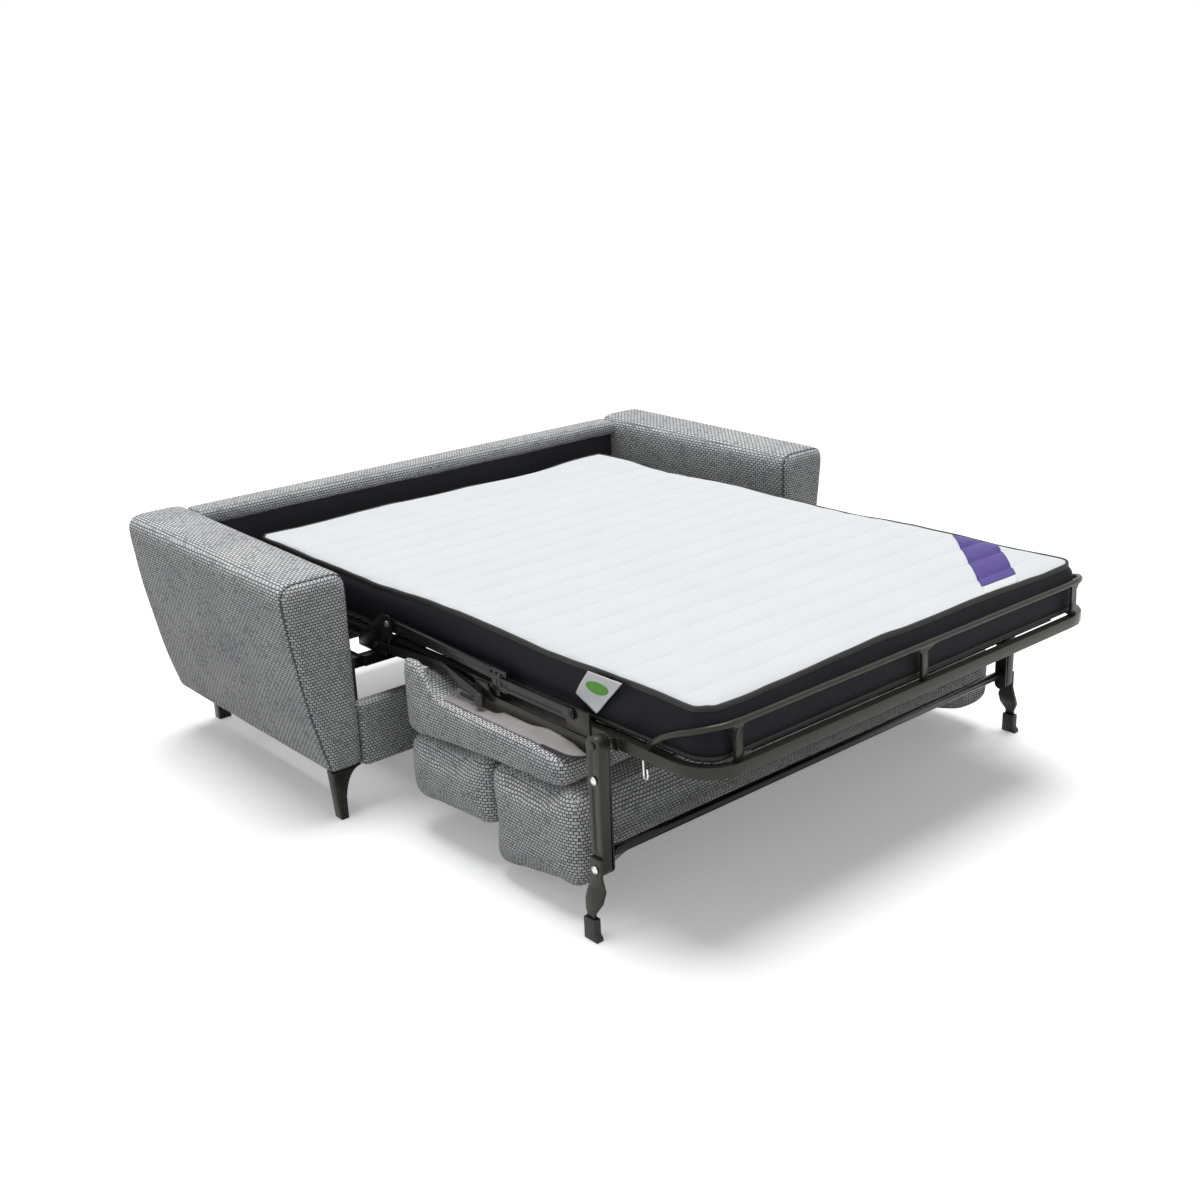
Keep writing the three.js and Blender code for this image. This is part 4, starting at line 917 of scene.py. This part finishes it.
def build_mattress(name, first_row, last_row):
    """One length of the mattress, closed at both ends: cover, tapes, border and underside."""
    depths = row_depths[first_row:last_row + 1]
    is_head, is_foot = first_row == 0, last_row == len(row_depths) - 1
    shares = [-1.0 + 2.0 * step / ACROSS_STEPS for step in range(ACROSS_STEPS + 1)]
    vertices = []
    for depth in depths:
        half, drawn_depth = cover_reach(depth)
        for share in shares:
            x = share * half
            vertices.append((x, OPEN_HALF - drawn_depth, cover_top(x, depth, drawn_depth, half)))
    width = len(shares)
    faces = grid_faces(len(depths), width, turned=True)
    marks = [0] * len(faces)
    # The rim runs down the left, across the foot, up the right, and across the head
    ring = [row * width for row in range(len(depths))]
    if is_foot:
        ring += [(len(depths) - 1) * width + column for column in range(1, width - 1)]
    ring += [row * width + width - 1 for row in reversed(range(len(depths)))]
    if is_head:
        ring += range(width - 2, 0, -1)
    flat = [Vector(vertices[index]) for index in ring]
    count = len(ring)

    def outward(spot):
        x, y, _ = flat[spot]
        depth = OPEN_HALF - y
        centre_x = max(abs(x) - (MATTRESS_HALF - MATTRESS_CORNER), 0.0) * math.copysign(1.0, x)
        low_lack = max(MATTRESS_START + MATTRESS_CORNER - depth, 0.0)
        high_lack = max(depth - (MATTRESS_END - MATTRESS_CORNER), 0.0)
        way = Vector((centre_x, low_lack - high_lack, 0.0))
        if way.length > 1e-6:
            return way.normalized()
        return Vector((math.copysign(1.0, x), 0.0, 0.0))

    ways = [outward(spot) for spot in range(count)]
    previous = ring
    for out, up, mark in WALL_SHAPE:
        start = len(vertices)
        for spot in range(count):
            place = flat[spot] + ways[spot] * out
            uneven = drift(place.x, place.y, BORDER_WAVES, seed=up * BORDER_WAVES_DOWN)
            place += ways[spot] * (BORDER_RIPPLE * uneven)
            place.y -= FOOT_SAG * max(-ways[spot].y, 0.0) * min(-up / SAG_DROP, 1.0) ** 2
            top = flat[spot].z
            vertices.append((place.x, place.y, top + (MATTRESS_LOW - top) * -up / WALL_DROP))
        current = list(range(start, start + count))
        for spot in range(count):
            after = (spot + 1) % count
            if not is_foot and spot == len(depths) - 1:
                continue
            if not is_head and after == 0:
                continue
            faces.append((previous[spot], previous[after], current[after], current[spot]))
            marks.append(mark)
        previous = current
    mesh = bpy.data.meshes.new(name)
    mesh.from_pydata(vertices, [], faces)
    mesh.polygons.foreach_set("material_index", marks)
    work = bmesh.new()
    work.from_mesh(mesh)
    work.verts.ensure_lookup_table()
    left_rows = [work.verts[previous[row]] for row in range(len(depths))]
    right_start = len(depths) + (width - 2 if is_foot else 0)
    right_rows = [work.verts[previous[right_start + row]] for row in reversed(range(len(depths)))]
    for row in range(len(depths) - 1):
        under = work.faces.new(
            (left_rows[row], right_rows[row], right_rows[row + 1], left_rows[row + 1]),
        )
        under.material_index = UNDERSIDE
    edges = [edge for edge in work.edges if edge.is_boundary]
    closed = bmesh.ops.holes_fill(work, edges=edges, sides=0)
    for face in closed["faces"]:
        face.material_index = UNDERSIDE
        for edge in face.edges:
            edge.smooth = False
    bmesh.ops.recalc_face_normals(work, faces=work.faces)
    bmesh.ops.triangulate(work, faces=[face for face in work.faces if len(face.verts) > 4])
    for face in work.faces:
        face.smooth = True
    work.to_mesh(mesh)
    work.free()
    return mesh


def toned(tree, shader, place, scale, low, high):
    """Lets a cloth's colour drift a little over its surface."""
    tone = color_ramp(tree, noise_value(tree, place, scale), (0.35, low), (0.65, high))
    tree.links.new(tone, shader.inputs["Base Color"])


cover_cloth, cover_tree, cover_shader = new_material(
    "cover_cloth", COVER_WHITE, roughness=0.85,
)
cover_place = object_place(cover_tree)
cover_knit = add(cover_tree, "ShaderNodeTexVoronoi", {
    "Vector": cover_place, "Scale": 260.0, "Randomness": 0.35,
})
raise_surface(
    cover_tree, cover_shader, cover_knit.outputs["Distance"], distance=0.0012, strength=0.45,
)
toned(cover_tree, cover_shader, cover_place, scale=5.0, low=COVER_SHADE, high=COVER_WHITE)
border_cloth, _, border_shader = grained(
    "border_cloth", BORDER_BLACK, roughness=0.6, scale=1100.0, distance=0.0005, strength=0.4,
)
border_shader.inputs["Specular IOR Level"].default_value = 0.15
tape_cloth, tape_tree, tape_shader = new_material("tape_cloth", TAPE_BROWN, roughness=0.6)
tape_rib = noise_value(tape_tree, object_place(tape_tree, (900.0, 900.0, 90.0)), scale=1.0)
raise_surface(tape_tree, tape_shader, tape_rib, distance=0.0008, strength=0.6)
under_cloth, _, _ = grained(
    "under_cloth", UNDER_GREY, roughness=0.9, scale=400.0, distance=0.0008, strength=0.4,
)


def row_at(depth):
    return min(range(len(row_depths)), key=lambda row: abs(row_depths[row] - depth))


FOLD_CHANNELS = (11, 15)
REAR_FOLD = (0.780, 1.053)
FRONT_FOLD = (1.345, 1.541)
END_FOLD = (1.620, 1.790)
cuts = [
    row_at(MATTRESS_START + channel * CHANNEL_PITCH) for channel in (0, *FOLD_CHANNELS, CHANNELS)
]
MATTRESS_LENGTHS = (
    ("mattress_head_length", "base", "middle", REAR_FOLD,
     ["mattress_head", "mattress_rear_fold"]),
    ("mattress_middle_length", "middle", "links", FRONT_FOLD,
     ["mattress_middle", "mattress_front_fold"]),
    ("mattress_foot_length", "links", "foot", END_FOLD, ["mattress_foot"]),
)
for part, (name, rear_body, front_body, fold, stood_for) in enumerate(MATTRESS_LENGTHS):
    mesh = build_mattress(name, cuts[part], cuts[part + 1])
    length = show(name, mesh, cover_cloth, tape_cloth, border_cloth, under_cloth)
    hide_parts(*stood_for)
    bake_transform(length)

# Seat and back cushions: foam in the flecked weave, turned upside down under the bed.
# Each is swollen by air pressure from its plain solid, and kept off its neighbours.
CUSHION_CELL = 0.012
CUSHION_GAP = 0.0010
CRUMPLE = 0.003
CRUMPLE_WAVES = (6.0, 18.6)
SMALL_CRUMPLE_SHARE = 0.35
CRUMPLE_LIFT_SHARE = 0.4
SWELL_FRAMES = 16
END_SWELL = 0.009
REAR_SWELL = 0.0005
FRONT_SWELL = 0.004
ARCH_START = 0.48
ARCH_END = 0.76
ARCH_RISE = 0.070
SEAT_START = 1.082
SEAT_END = 1.722
SEAT_TOP = 0.3995
SEAT_TOP_START = 1.235
SEAT_GAP = 0.0006
SEAT_LOW_START = 0.270
SEAT_LOW_END = 0.322


def seat_underside(depth):
    """The sloping height where the seat cushion meets the back cushions below it."""
    share = (depth - SEAT_START) / (SEAT_END - SEAT_START)
    return SEAT_LOW_START + share * (SEAT_LOW_END - SEAT_LOW_START)


def swell(piece, pressure, most):
    """Blows a piece up with the cloth solver, moving no point by more than the given length."""
    start = places_of(piece).copy()
    cloth = piece.modifiers.new("air", "CLOTH")
    cloth.settings.use_pressure = True
    cloth.settings.uniform_pressure_force = pressure
    cloth.settings.quality = 4
    cloth.settings.effector_weights.gravity = 0.0
    for step in range(1, SWELL_FRAMES + 1):
        scene.frame_set(step)
    graph = bpy.context.evaluated_depsgraph_get()
    swollen = piece.evaluated_get(graph).to_mesh()
    moved = np.zeros(len(swollen.vertices) * 3)
    swollen.vertices.foreach_get("co", moved)
    piece.modifiers.clear()
    scene.frame_set(1)
    change = moved.reshape(-1, 3) - start
    length = np.linalg.norm(change, axis=1, keepdims=True)
    change *= np.minimum(1.0, most / np.maximum(length, 1e-9))
    set_places(piece, start + change)


def crumple(places, seed):
    """Pushes a cushion's points to and fro along the bed in broad and small wrinkles."""

    def wrinkle(place, waves):
        return noise.noise(Vector((place[0] * waves, place[1] * waves, place[2] * waves + seed)))

    for index, place in enumerate(places):
        broad, small = [wrinkle(place, waves) for waves in CRUMPLE_WAVES]
        push = CRUMPLE * (broad + SMALL_CRUMPLE_SHARE * small)
        places[index][1] += push
        places[index][2] += CRUMPLE_LIFT_SHARE * push
    return places


# Each cushion with its air pressure, the most it may swell, and its wrinkles' seed
CUSHIONS = [
    ("seat_cushion", 1.5, 0.006, 1.0),
    ("back_cushion_upper", 2.5, 0.010, 2.0),
    ("back_cushion_lower", 2.5, 0.012, 3.0),
]
for node, pressure, most, seed in CUSHIONS:
    cushion = copy_of(node, f"{node}_cover", weave)
    remesh(cushion, CUSHION_CELL, rounds=5)
    swell(cushion, pressure, most)
    places = crumple(places_of(cushion), seed)
    box_low, box_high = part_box(node)
    depth = OPEN_HALF - places[:, 1]
    if node == "seat_cushion":
        flat_part = depth > SEAT_TOP_START
        places[:, 2] = np.where(flat_part, np.minimum(places[:, 2], SEAT_TOP), places[:, 2])
        places[:, 2] = np.maximum(places[:, 2], seat_underside(depth) + SEAT_GAP)
    else:
        places[:, 2] = np.minimum(places[:, 2], seat_underside(depth) - CUSHION_GAP)
    if node == "back_cushion_lower":
        outer = np.clip((np.abs(places[:, 0]) - ARCH_START) / (ARCH_END - ARCH_START), 0.0, 1.0)
        hang = np.clip((box_high.z - places[:, 2]) / (box_high.z - box_low.z), 0.0, 1.0)
        places[:, 2] += ARCH_RISE * (1.0 - outer * outer * (3.0 - 2.0 * outer)) * hang
    places[:, 0] *= 1.0 + END_SWELL / box_high.x
    places[:, 0] = np.clip(places[:, 0], box_low.x - END_SWELL, box_high.x + END_SWELL)
    places[:, 1] = np.clip(places[:, 1], box_low.y - FRONT_SWELL, box_high.y + REAR_SWELL)
    set_places(cushion, places)
    finer_skin(cushion)
    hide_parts(node)
    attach(cushion, "middle")

# Seat underside: a thin grey cloth pulled over the seat's board and under the side
# plates, wrinkled where it is stapled, with a dark piping round its front corners.
LINING_GREY = (0.44, 0.42, 0.415, 1.0)
LINING_SHADE = (0.37, 0.355, 0.35, 1.0)
FELT_GREY = (0.10, 0.10, 0.10, 1.0)
CLOTH_HALF = 0.766
CLOTH_START = 1.236
CLOTH_END = 1.769
CLOTH_CORNER = 0.055
CLOTH_CLIMB = 0.024
CLOTH_CLIMB_REACH = 0.026
CLOTH_CLIMB_START = 1.405
CLOTH_CLIMB_EASE = 0.04
CLOTH_CLIMB_CURVE = 1.3
CLOTH_CLIMB_LEVEL = 0.72
CLOTH_CLIMB_DRIFT = 0.55
CLOTH_CLIMB_WAVES = (1.0, 9.0)
CLOTH_CLIMB_END_GAP = 0.010
CLOTH_CLIMB_END_EASE = 0.05
CLOTH_WRINKLES = ((0.0022, (9.0, 24.0), 7.0), (0.0012, (26.0, 40.0), 3.0))
CREASE_TURNS = 60.0
CREASE_BEND = 5.0
CREASE_WAVES = (7.0, 5.0)
BOARD_STAND = 0.0012
BOARD_CREASE = 0.0015
SIDE_STAND = 0.0022
SIDE_WRINKLE = 1.4
SIDE_CREASE = 0.0028
PLATE_EASE = 0.008
RIM_EASE = 0.006
SIDE_STEPS = 7
BOARD_STEPS = 100
CLOTH_CELL = 0.0055
CLOTH_MERGE = 0.00005
CLOTH_THICKNESS = 0.0005
PLATE_INNER = 0.7215
PLATE_OUTER = 0.7285
UNDER_PLATE = 0.4009
BOARD_HALF = 0.722
BOARD_TOP = 0.4124
BOARD_EDGE_ROUND = 0.002
BOARD_RIM = 0.0045
PIPING_RADIUS = 0.0034
PIPING_HEIGHT = 0.4040
PIPING_START_HEIGHT = 0.4032
PIPING_LEAD = 0.075
PIPING_OUT = 0.001
PIPING_TAIL = 0.004
PIPING_STEPS = 18
PIPING_DARK = (0.028, 0.028, 0.032, 1.0)

seat_cloth, seat_tree, seat_shader = grained(
    "seat_cloth", LINING_GREY, roughness=0.85, scale=700.0, distance=0.0006, strength=0.5,
)
seat_place = object_place(seat_tree)
toned(seat_tree, seat_shader, seat_place, scale=9.0, low=LINING_SHADE, high=LINING_GREY)
board_felt, _, _ = grained(
    "board_felt", FELT_GREY, roughness=0.9, scale=350.0, distance=0.0008, strength=0.5,
)
dress_metal("seat_board", board_felt, "middle", BOARD_EDGE_ROUND)
piping_cloth, _, _ = grained(
    "piping_cloth", PIPING_DARK, roughness=0.8, scale=900.0, distance=0.0006, strength=0.5,
)


def cloth_half(depth):
    """How far the cloth reaches to each side, with its front corners rounded off."""
    return rounded_half(CLOTH_HALF, CLOTH_CORNER, depth - (CLOTH_END - CLOTH_CORNER))


def share_of(value):
    """A number held between 0 and 1."""
    return min(max(value, 0.0), 1.0)


def cloth_height(x, depth):
    """Over the board inside the side plates, and low where it passes under them."""
    side = abs(x)
    wrinkle = sum(size * drift(x, depth, waves, seed) for size, waves, seed in CLOTH_WRINKLES)
    bend = CREASE_BEND * drift(x, depth, CREASE_WAVES, seed=1.0)
    creases = max(0.0, math.sin(depth * CREASE_TURNS + bend))
    if side < PLATE_INNER:
        return BOARD_TOP + BOARD_STAND + abs(wrinkle) + BOARD_CREASE * creases
    if side < PLATE_OUTER:
        return UNDER_PLATE
    raised = min((side - PLATE_OUTER) / PLATE_EASE, 1.0) * min((CLOTH_HALF - side) / RIM_EASE, 1.0)
    along = share_of((depth - CLOTH_CLIMB_START) / CLOTH_CLIMB_EASE)
    along *= share_of((CLOTH_END - CLOTH_CLIMB_END_GAP - depth) / CLOTH_CLIMB_END_EASE)
    slope = max(0.0, 1.0 - (side - PLATE_OUTER) / CLOTH_CLIMB_REACH) ** CLOTH_CLIMB_CURVE
    uneven = CLOTH_CLIMB_LEVEL + CLOTH_CLIMB_DRIFT * drift(x, depth, CLOTH_CLIMB_WAVES, seed=4.0)
    climb = CLOTH_CLIMB * along * slope * uneven
    rise = SIDE_STAND + SIDE_WRINKLE * abs(wrinkle) + SIDE_CREASE * creases
    return UNDER_PLATE + raised * rise + climb


board_reach = BOARD_HALF - BOARD_RIM
cloth_sides = [
    PLATE_OUTER + (CLOTH_HALF - PLATE_OUTER) * step / SIDE_STEPS for step in range(SIDE_STEPS + 1)
]
cloth_sides += [
    board_reach - step * board_reach / BOARD_STEPS for step in range(BOARD_STEPS + 1)
]
cloth_sides = sorted({round(side, 6) for side in cloth_sides + [PLATE_INNER]})
cloth_columns = [-side for side in reversed(cloth_sides)] + cloth_sides[1:]
cloth_rows = round((CLOTH_END - CLOTH_START) / CLOTH_CELL)
cloth_points = []
for row in range(cloth_rows + 1):
    depth = CLOTH_START + (CLOTH_END - CLOTH_START) * row / cloth_rows
    for side in cloth_columns:
        x = side
        if abs(side) >= PLATE_OUTER:
            x = math.copysign(min(abs(side), cloth_half(depth)), side)
        cloth_points.append((x, OPEN_HALF - depth, cloth_height(x, depth)))
cloth_faces = grid_faces(cloth_rows + 1, len(cloth_columns), turned=True)
seat_lining = drawn("seat_lining_cloth", cloth_points, [], cloth_faces, seat_cloth)
merge = seat_lining.modifiers.new("merge", "WELD")
merge.merge_threshold = CLOTH_MERGE
thicken(seat_lining, CLOTH_THICKNESS, 1.0)
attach(seat_lining, "middle")
for side, sign in (("left", -1.0), ("right", 1.0)):
    loop = []
    for step in range(PIPING_STEPS + 1):
        turn = math.pi / 2 * step / PIPING_STEPS
        loop.append(Vector((
            sign * (CLOTH_HALF - CLOTH_CORNER + CLOTH_CORNER * math.cos(turn)),
            OPEN_HALF - (CLOTH_END - CLOTH_CORNER + CLOTH_CORNER * math.sin(turn)),
            PIPING_HEIGHT,
        )))
    start = Vector((
        sign * (CLOTH_HALF + PIPING_OUT), OPEN_HALF - (CLOTH_END - CLOTH_CORNER - PIPING_LEAD),
        PIPING_START_HEIGHT,
    ))
    end = Vector((
        sign * (CLOTH_HALF - CLOTH_CORNER - PIPING_TAIL), OPEN_HALF - CLOTH_END - PIPING_OUT,
        PIPING_HEIGHT,
    ))
    loop = [start, start.lerp(loop[0], 0.5)] + loop + [end]
    piping = tube_along(f"seat_piping_{side}", loop, PIPING_RADIUS, piping_cloth, sides=4)
    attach(piping, "middle")

# Ribbon: a band of violet satin sewn slantwise over the foot corner of the cover, from
# its right rim to its foot rim, with a white hem at its lower end.
RIBBON_SLANTS = (2.377, 2.522)
RIBBON_RIM = 0.664
RIBBON_FOOT = 2.053
HEM_START = 2.048
HEM_FOOT = 2.079
RIBBON_LIFT = 0.0016
HEM_LIFT = 0.0008
RIBBON_THICKNESS = 0.0008
RIBBON_COLUMNS, RIBBON_STEPS, HEM_STEPS = 16, 60, 12
RIBBON_CURL = 0.0016
CURL_WAVES = (0.21, 2.0)
VIOLET = (0.060, 0.030, 0.245, 1.0)
TAG_WHITE = (0.80, 0.82, 0.83, 1.0)

violet_satin, violet_tree, violet_shader = new_material(
    "violet_satin", VIOLET, roughness=0.42,
)
violet_weave = add(violet_tree, "ShaderNodeTexWave", {
    "Vector": object_place(violet_tree), "Scale": 420.0,
})
raise_surface(
    violet_tree, violet_shader, violet_weave.outputs["Fac"], distance=0.0003, strength=0.3,
)
violet_shader.inputs["Specular IOR Level"].default_value = 0.25
tag_cloth, _, _ = grained(
    "tag_cloth", TAG_WHITE, roughness=0.5, scale=1300.0, distance=0.0003, strength=0.3,
)


def ribbon_rows(starts, ends, steps, lift):
    """Rows of points laid on the quilting, from one short side of a band to the other."""
    rows = []
    for step in range(steps + 1):
        row = []
        for column in range(RIBBON_COLUMNS + 1):
            share = column / RIBBON_COLUMNS
            start, end = starts[0].lerp(starts[1], share), ends[0].lerp(ends[1], share)
            spot = start.lerp(end, step / steps)
            lift_share = 0.5 + drift(step, share, CURL_WAVES, seed=6.0)
            curl = RIBBON_CURL * abs(2 * share - 1.0) ** 4 * lift_share
            height = cover_top(spot.x, spot.y, spot.y, cover_reach(spot.y)[0])
            row.append((spot.x, OPEN_HALF - spot.y, height + lift + max(curl, 0.0)))
        rows.append(row)
    return rows


ribbon_starts = [Vector((RIBBON_RIM, slant - RIBBON_RIM)) for slant in RIBBON_SLANTS]
ribbon_ends = [Vector((slant - RIBBON_FOOT, RIBBON_FOOT)) for slant in RIBBON_SLANTS]
band_rows = ribbon_rows(ribbon_starts, ribbon_ends, RIBBON_STEPS, RIBBON_LIFT)
ribbon = cloth_strip("ribbon_band", band_rows, RIBBON_THICKNESS, violet_satin)
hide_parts("corner_ribbon")
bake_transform(ribbon)
hem_starts = [Vector((slant - HEM_START, HEM_START)) for slant in RIBBON_SLANTS]
hem_ends = [Vector((slant - HEM_FOOT, HEM_FOOT)) for slant in RIBBON_SLANTS]
hem_rows = ribbon_rows(hem_starts, hem_ends, HEM_STEPS, HEM_LIFT)
hem = cloth_strip("ribbon_hem", hem_rows, RIBBON_THICKNESS, tag_cloth)
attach(hem, "foot")

# Care tag: a plain white satin tag with a green patch, sewn into the upper tape on the
# mattress's left side, hanging a little askew and lifting at one corner.
TAG_CORNERS = ((1.745, 0.5975), (1.860, 0.5995), (1.780, 0.508), (1.698, 0.530))
TAG_ROWS, TAG_COLUMNS = 22, 24
TAG_THICKNESS = 0.0006
TAG_STAND = 0.0022
TAG_BULGE = 0.0055
TAG_BULGE_SHARE = 0.9
TAG_CORNER_LIFT = 0.010
TAG_WAVE = 0.0015
TAG_WAVES = (3.0, 3.0)
TAPE_STAND = 0.0042
TAPE_STEP = 0.0022
TAPE_SHARE = 3.0
PATCH_CENTRE = (0.50, 0.40)
PATCH_REACH = (0.36, 0.17)
PATCH_THICKNESS = 0.0003
PATCH_LIFT = 0.0006
PATCH_RINGS, PATCH_STEPS = 8, 48
PATCH_GREEN = (0.10, 0.36, 0.03, 1.0)


def tag_place(across, down):
    """A point of the tag, which bulges a little off the border and lifts at one corner."""
    left_top, right_top, right_low, left_low = [Vector(corner) for corner in TAG_CORNERS]
    spot = left_top.lerp(right_top, across).lerp(left_low.lerp(right_low, across), down)
    stand = TAG_STAND + TAG_BULGE * math.sin(math.pi * min(down * TAG_BULGE_SHARE, 1.0))
    stand += TAG_CORNER_LIFT * down ** 3 * across
    stand += TAG_WAVE * drift(across, down, TAG_WAVES, seed=1.0)
    wall = MATTRESS_HALF + TAPE_STAND - TAPE_STEP * min(down * TAPE_SHARE, 1.0)
    return (-(wall + stand), OPEN_HALF - spot.x, spot.y)


tag_rows = rows_of(tag_place, TAG_ROWS, TAG_COLUMNS)
tag = cloth_strip("side_tag_cloth", tag_rows, TAG_THICKNESS, tag_cloth)
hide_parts("side_tag")
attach(tag, "foot")


def patch_place(share, reach):
    """A point of the oval patch, given by how far round and how far out it lies."""
    turn = math.tau * share
    x, y, z = tag_place(
        PATCH_CENTRE[0] + PATCH_REACH[0] * reach * math.cos(turn),
        PATCH_CENTRE[1] + PATCH_REACH[1] * reach * math.sin(turn),
    )
    return x - PATCH_LIFT, y, z


green_print, _, _ = grained(
    "green_print", PATCH_GREEN, roughness=0.5, scale=1300.0, distance=0.0003, strength=0.3,
)
patch_rows = rows_of(patch_place, PATCH_RINGS, PATCH_STEPS)
patch = cloth_strip("side_tag_patch", patch_rows, PATCH_THICKNESS, green_print)
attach(patch, "foot")

# Bolt and rivet heads: low domes of bright zinc steel on thin washers, driven through
# the bed legs, the foot bars and the hinge brackets from the outside. One tool sets
# them on their points.
LEG_HEAD = (0.0078, 0.0032)
RIVET_HEAD = (0.0042, 0.0020)
WASHER_THICKNESS = 0.0016
WASHER_SPREAD = 1.3
STUDS = (
    ("leg_bolt_heads", "bed_legs", 0.7820, [(1.838, 0.385)], LEG_HEAD),
    ("foot_bolt_heads", "bed_legs", 0.7900, [(1.838, 0.168)], LEG_HEAD),
    ("bracket_rivets", "base", 0.7278, [(0.868, 0.438), (0.905, 0.438)], RIVET_HEAD),
)


def make_stud_tool():
    """A domed head on a flat washer at each point, both lying across X."""
    group, sizes, made = node_tool("studs", "Head Radius", "Head Rise")
    ball = add(group, "GeometryNodeMeshIcoSphere", {"Radius": 1.0, "Subdivisions": 3})
    size = add(group, "ShaderNodeCombineXYZ", {
        0: sizes["Head Rise"], 1: sizes["Head Radius"], 2: sizes["Head Radius"],
    })
    given = {"Geometry": ball.outputs[0], "Scale": size.outputs[0]}
    dome = add(group, "GeometryNodeTransform", given)
    ring = add(group, "GeometryNodeMeshCylinder", {
        "Vertices": 24, "Depth": WASHER_THICKNESS,
        "Radius": arithmetic(group, "MULTIPLY", sizes["Head Radius"], WASHER_SPREAD),
    })
    given = {"Geometry": ring.outputs[0], "Rotation": (0.0, math.pi / 2, 0.0)}
    washer = add(group, "GeometryNodeTransform", given)
    both = add(group, "GeometryNodeJoinGeometry", {0: dome.outputs[0]})
    group.links.new(washer.outputs[0], both.inputs[0])
    given = {"Points": sizes["Geometry"], "Instance": both.outputs[0]}
    group.links.new(add(group, "GeometryNodeInstanceOnPoints", given).outputs[0], made)
    return group


stud_tool = make_stud_tool()
for name, body, x, spots, (radius, rise) in STUDS:
    places = [
        (sign * x, OPEN_HALF - depth, height) for sign in (-1.0, 1.0) for depth, height in spots
    ]
    heads = run_tool(drawn(name, places, [], [], zinc_steel), stud_tool, {
        "Head Radius": radius, "Head Rise": rise, "Finish": zinc_steel,
    })
    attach(heads, body)
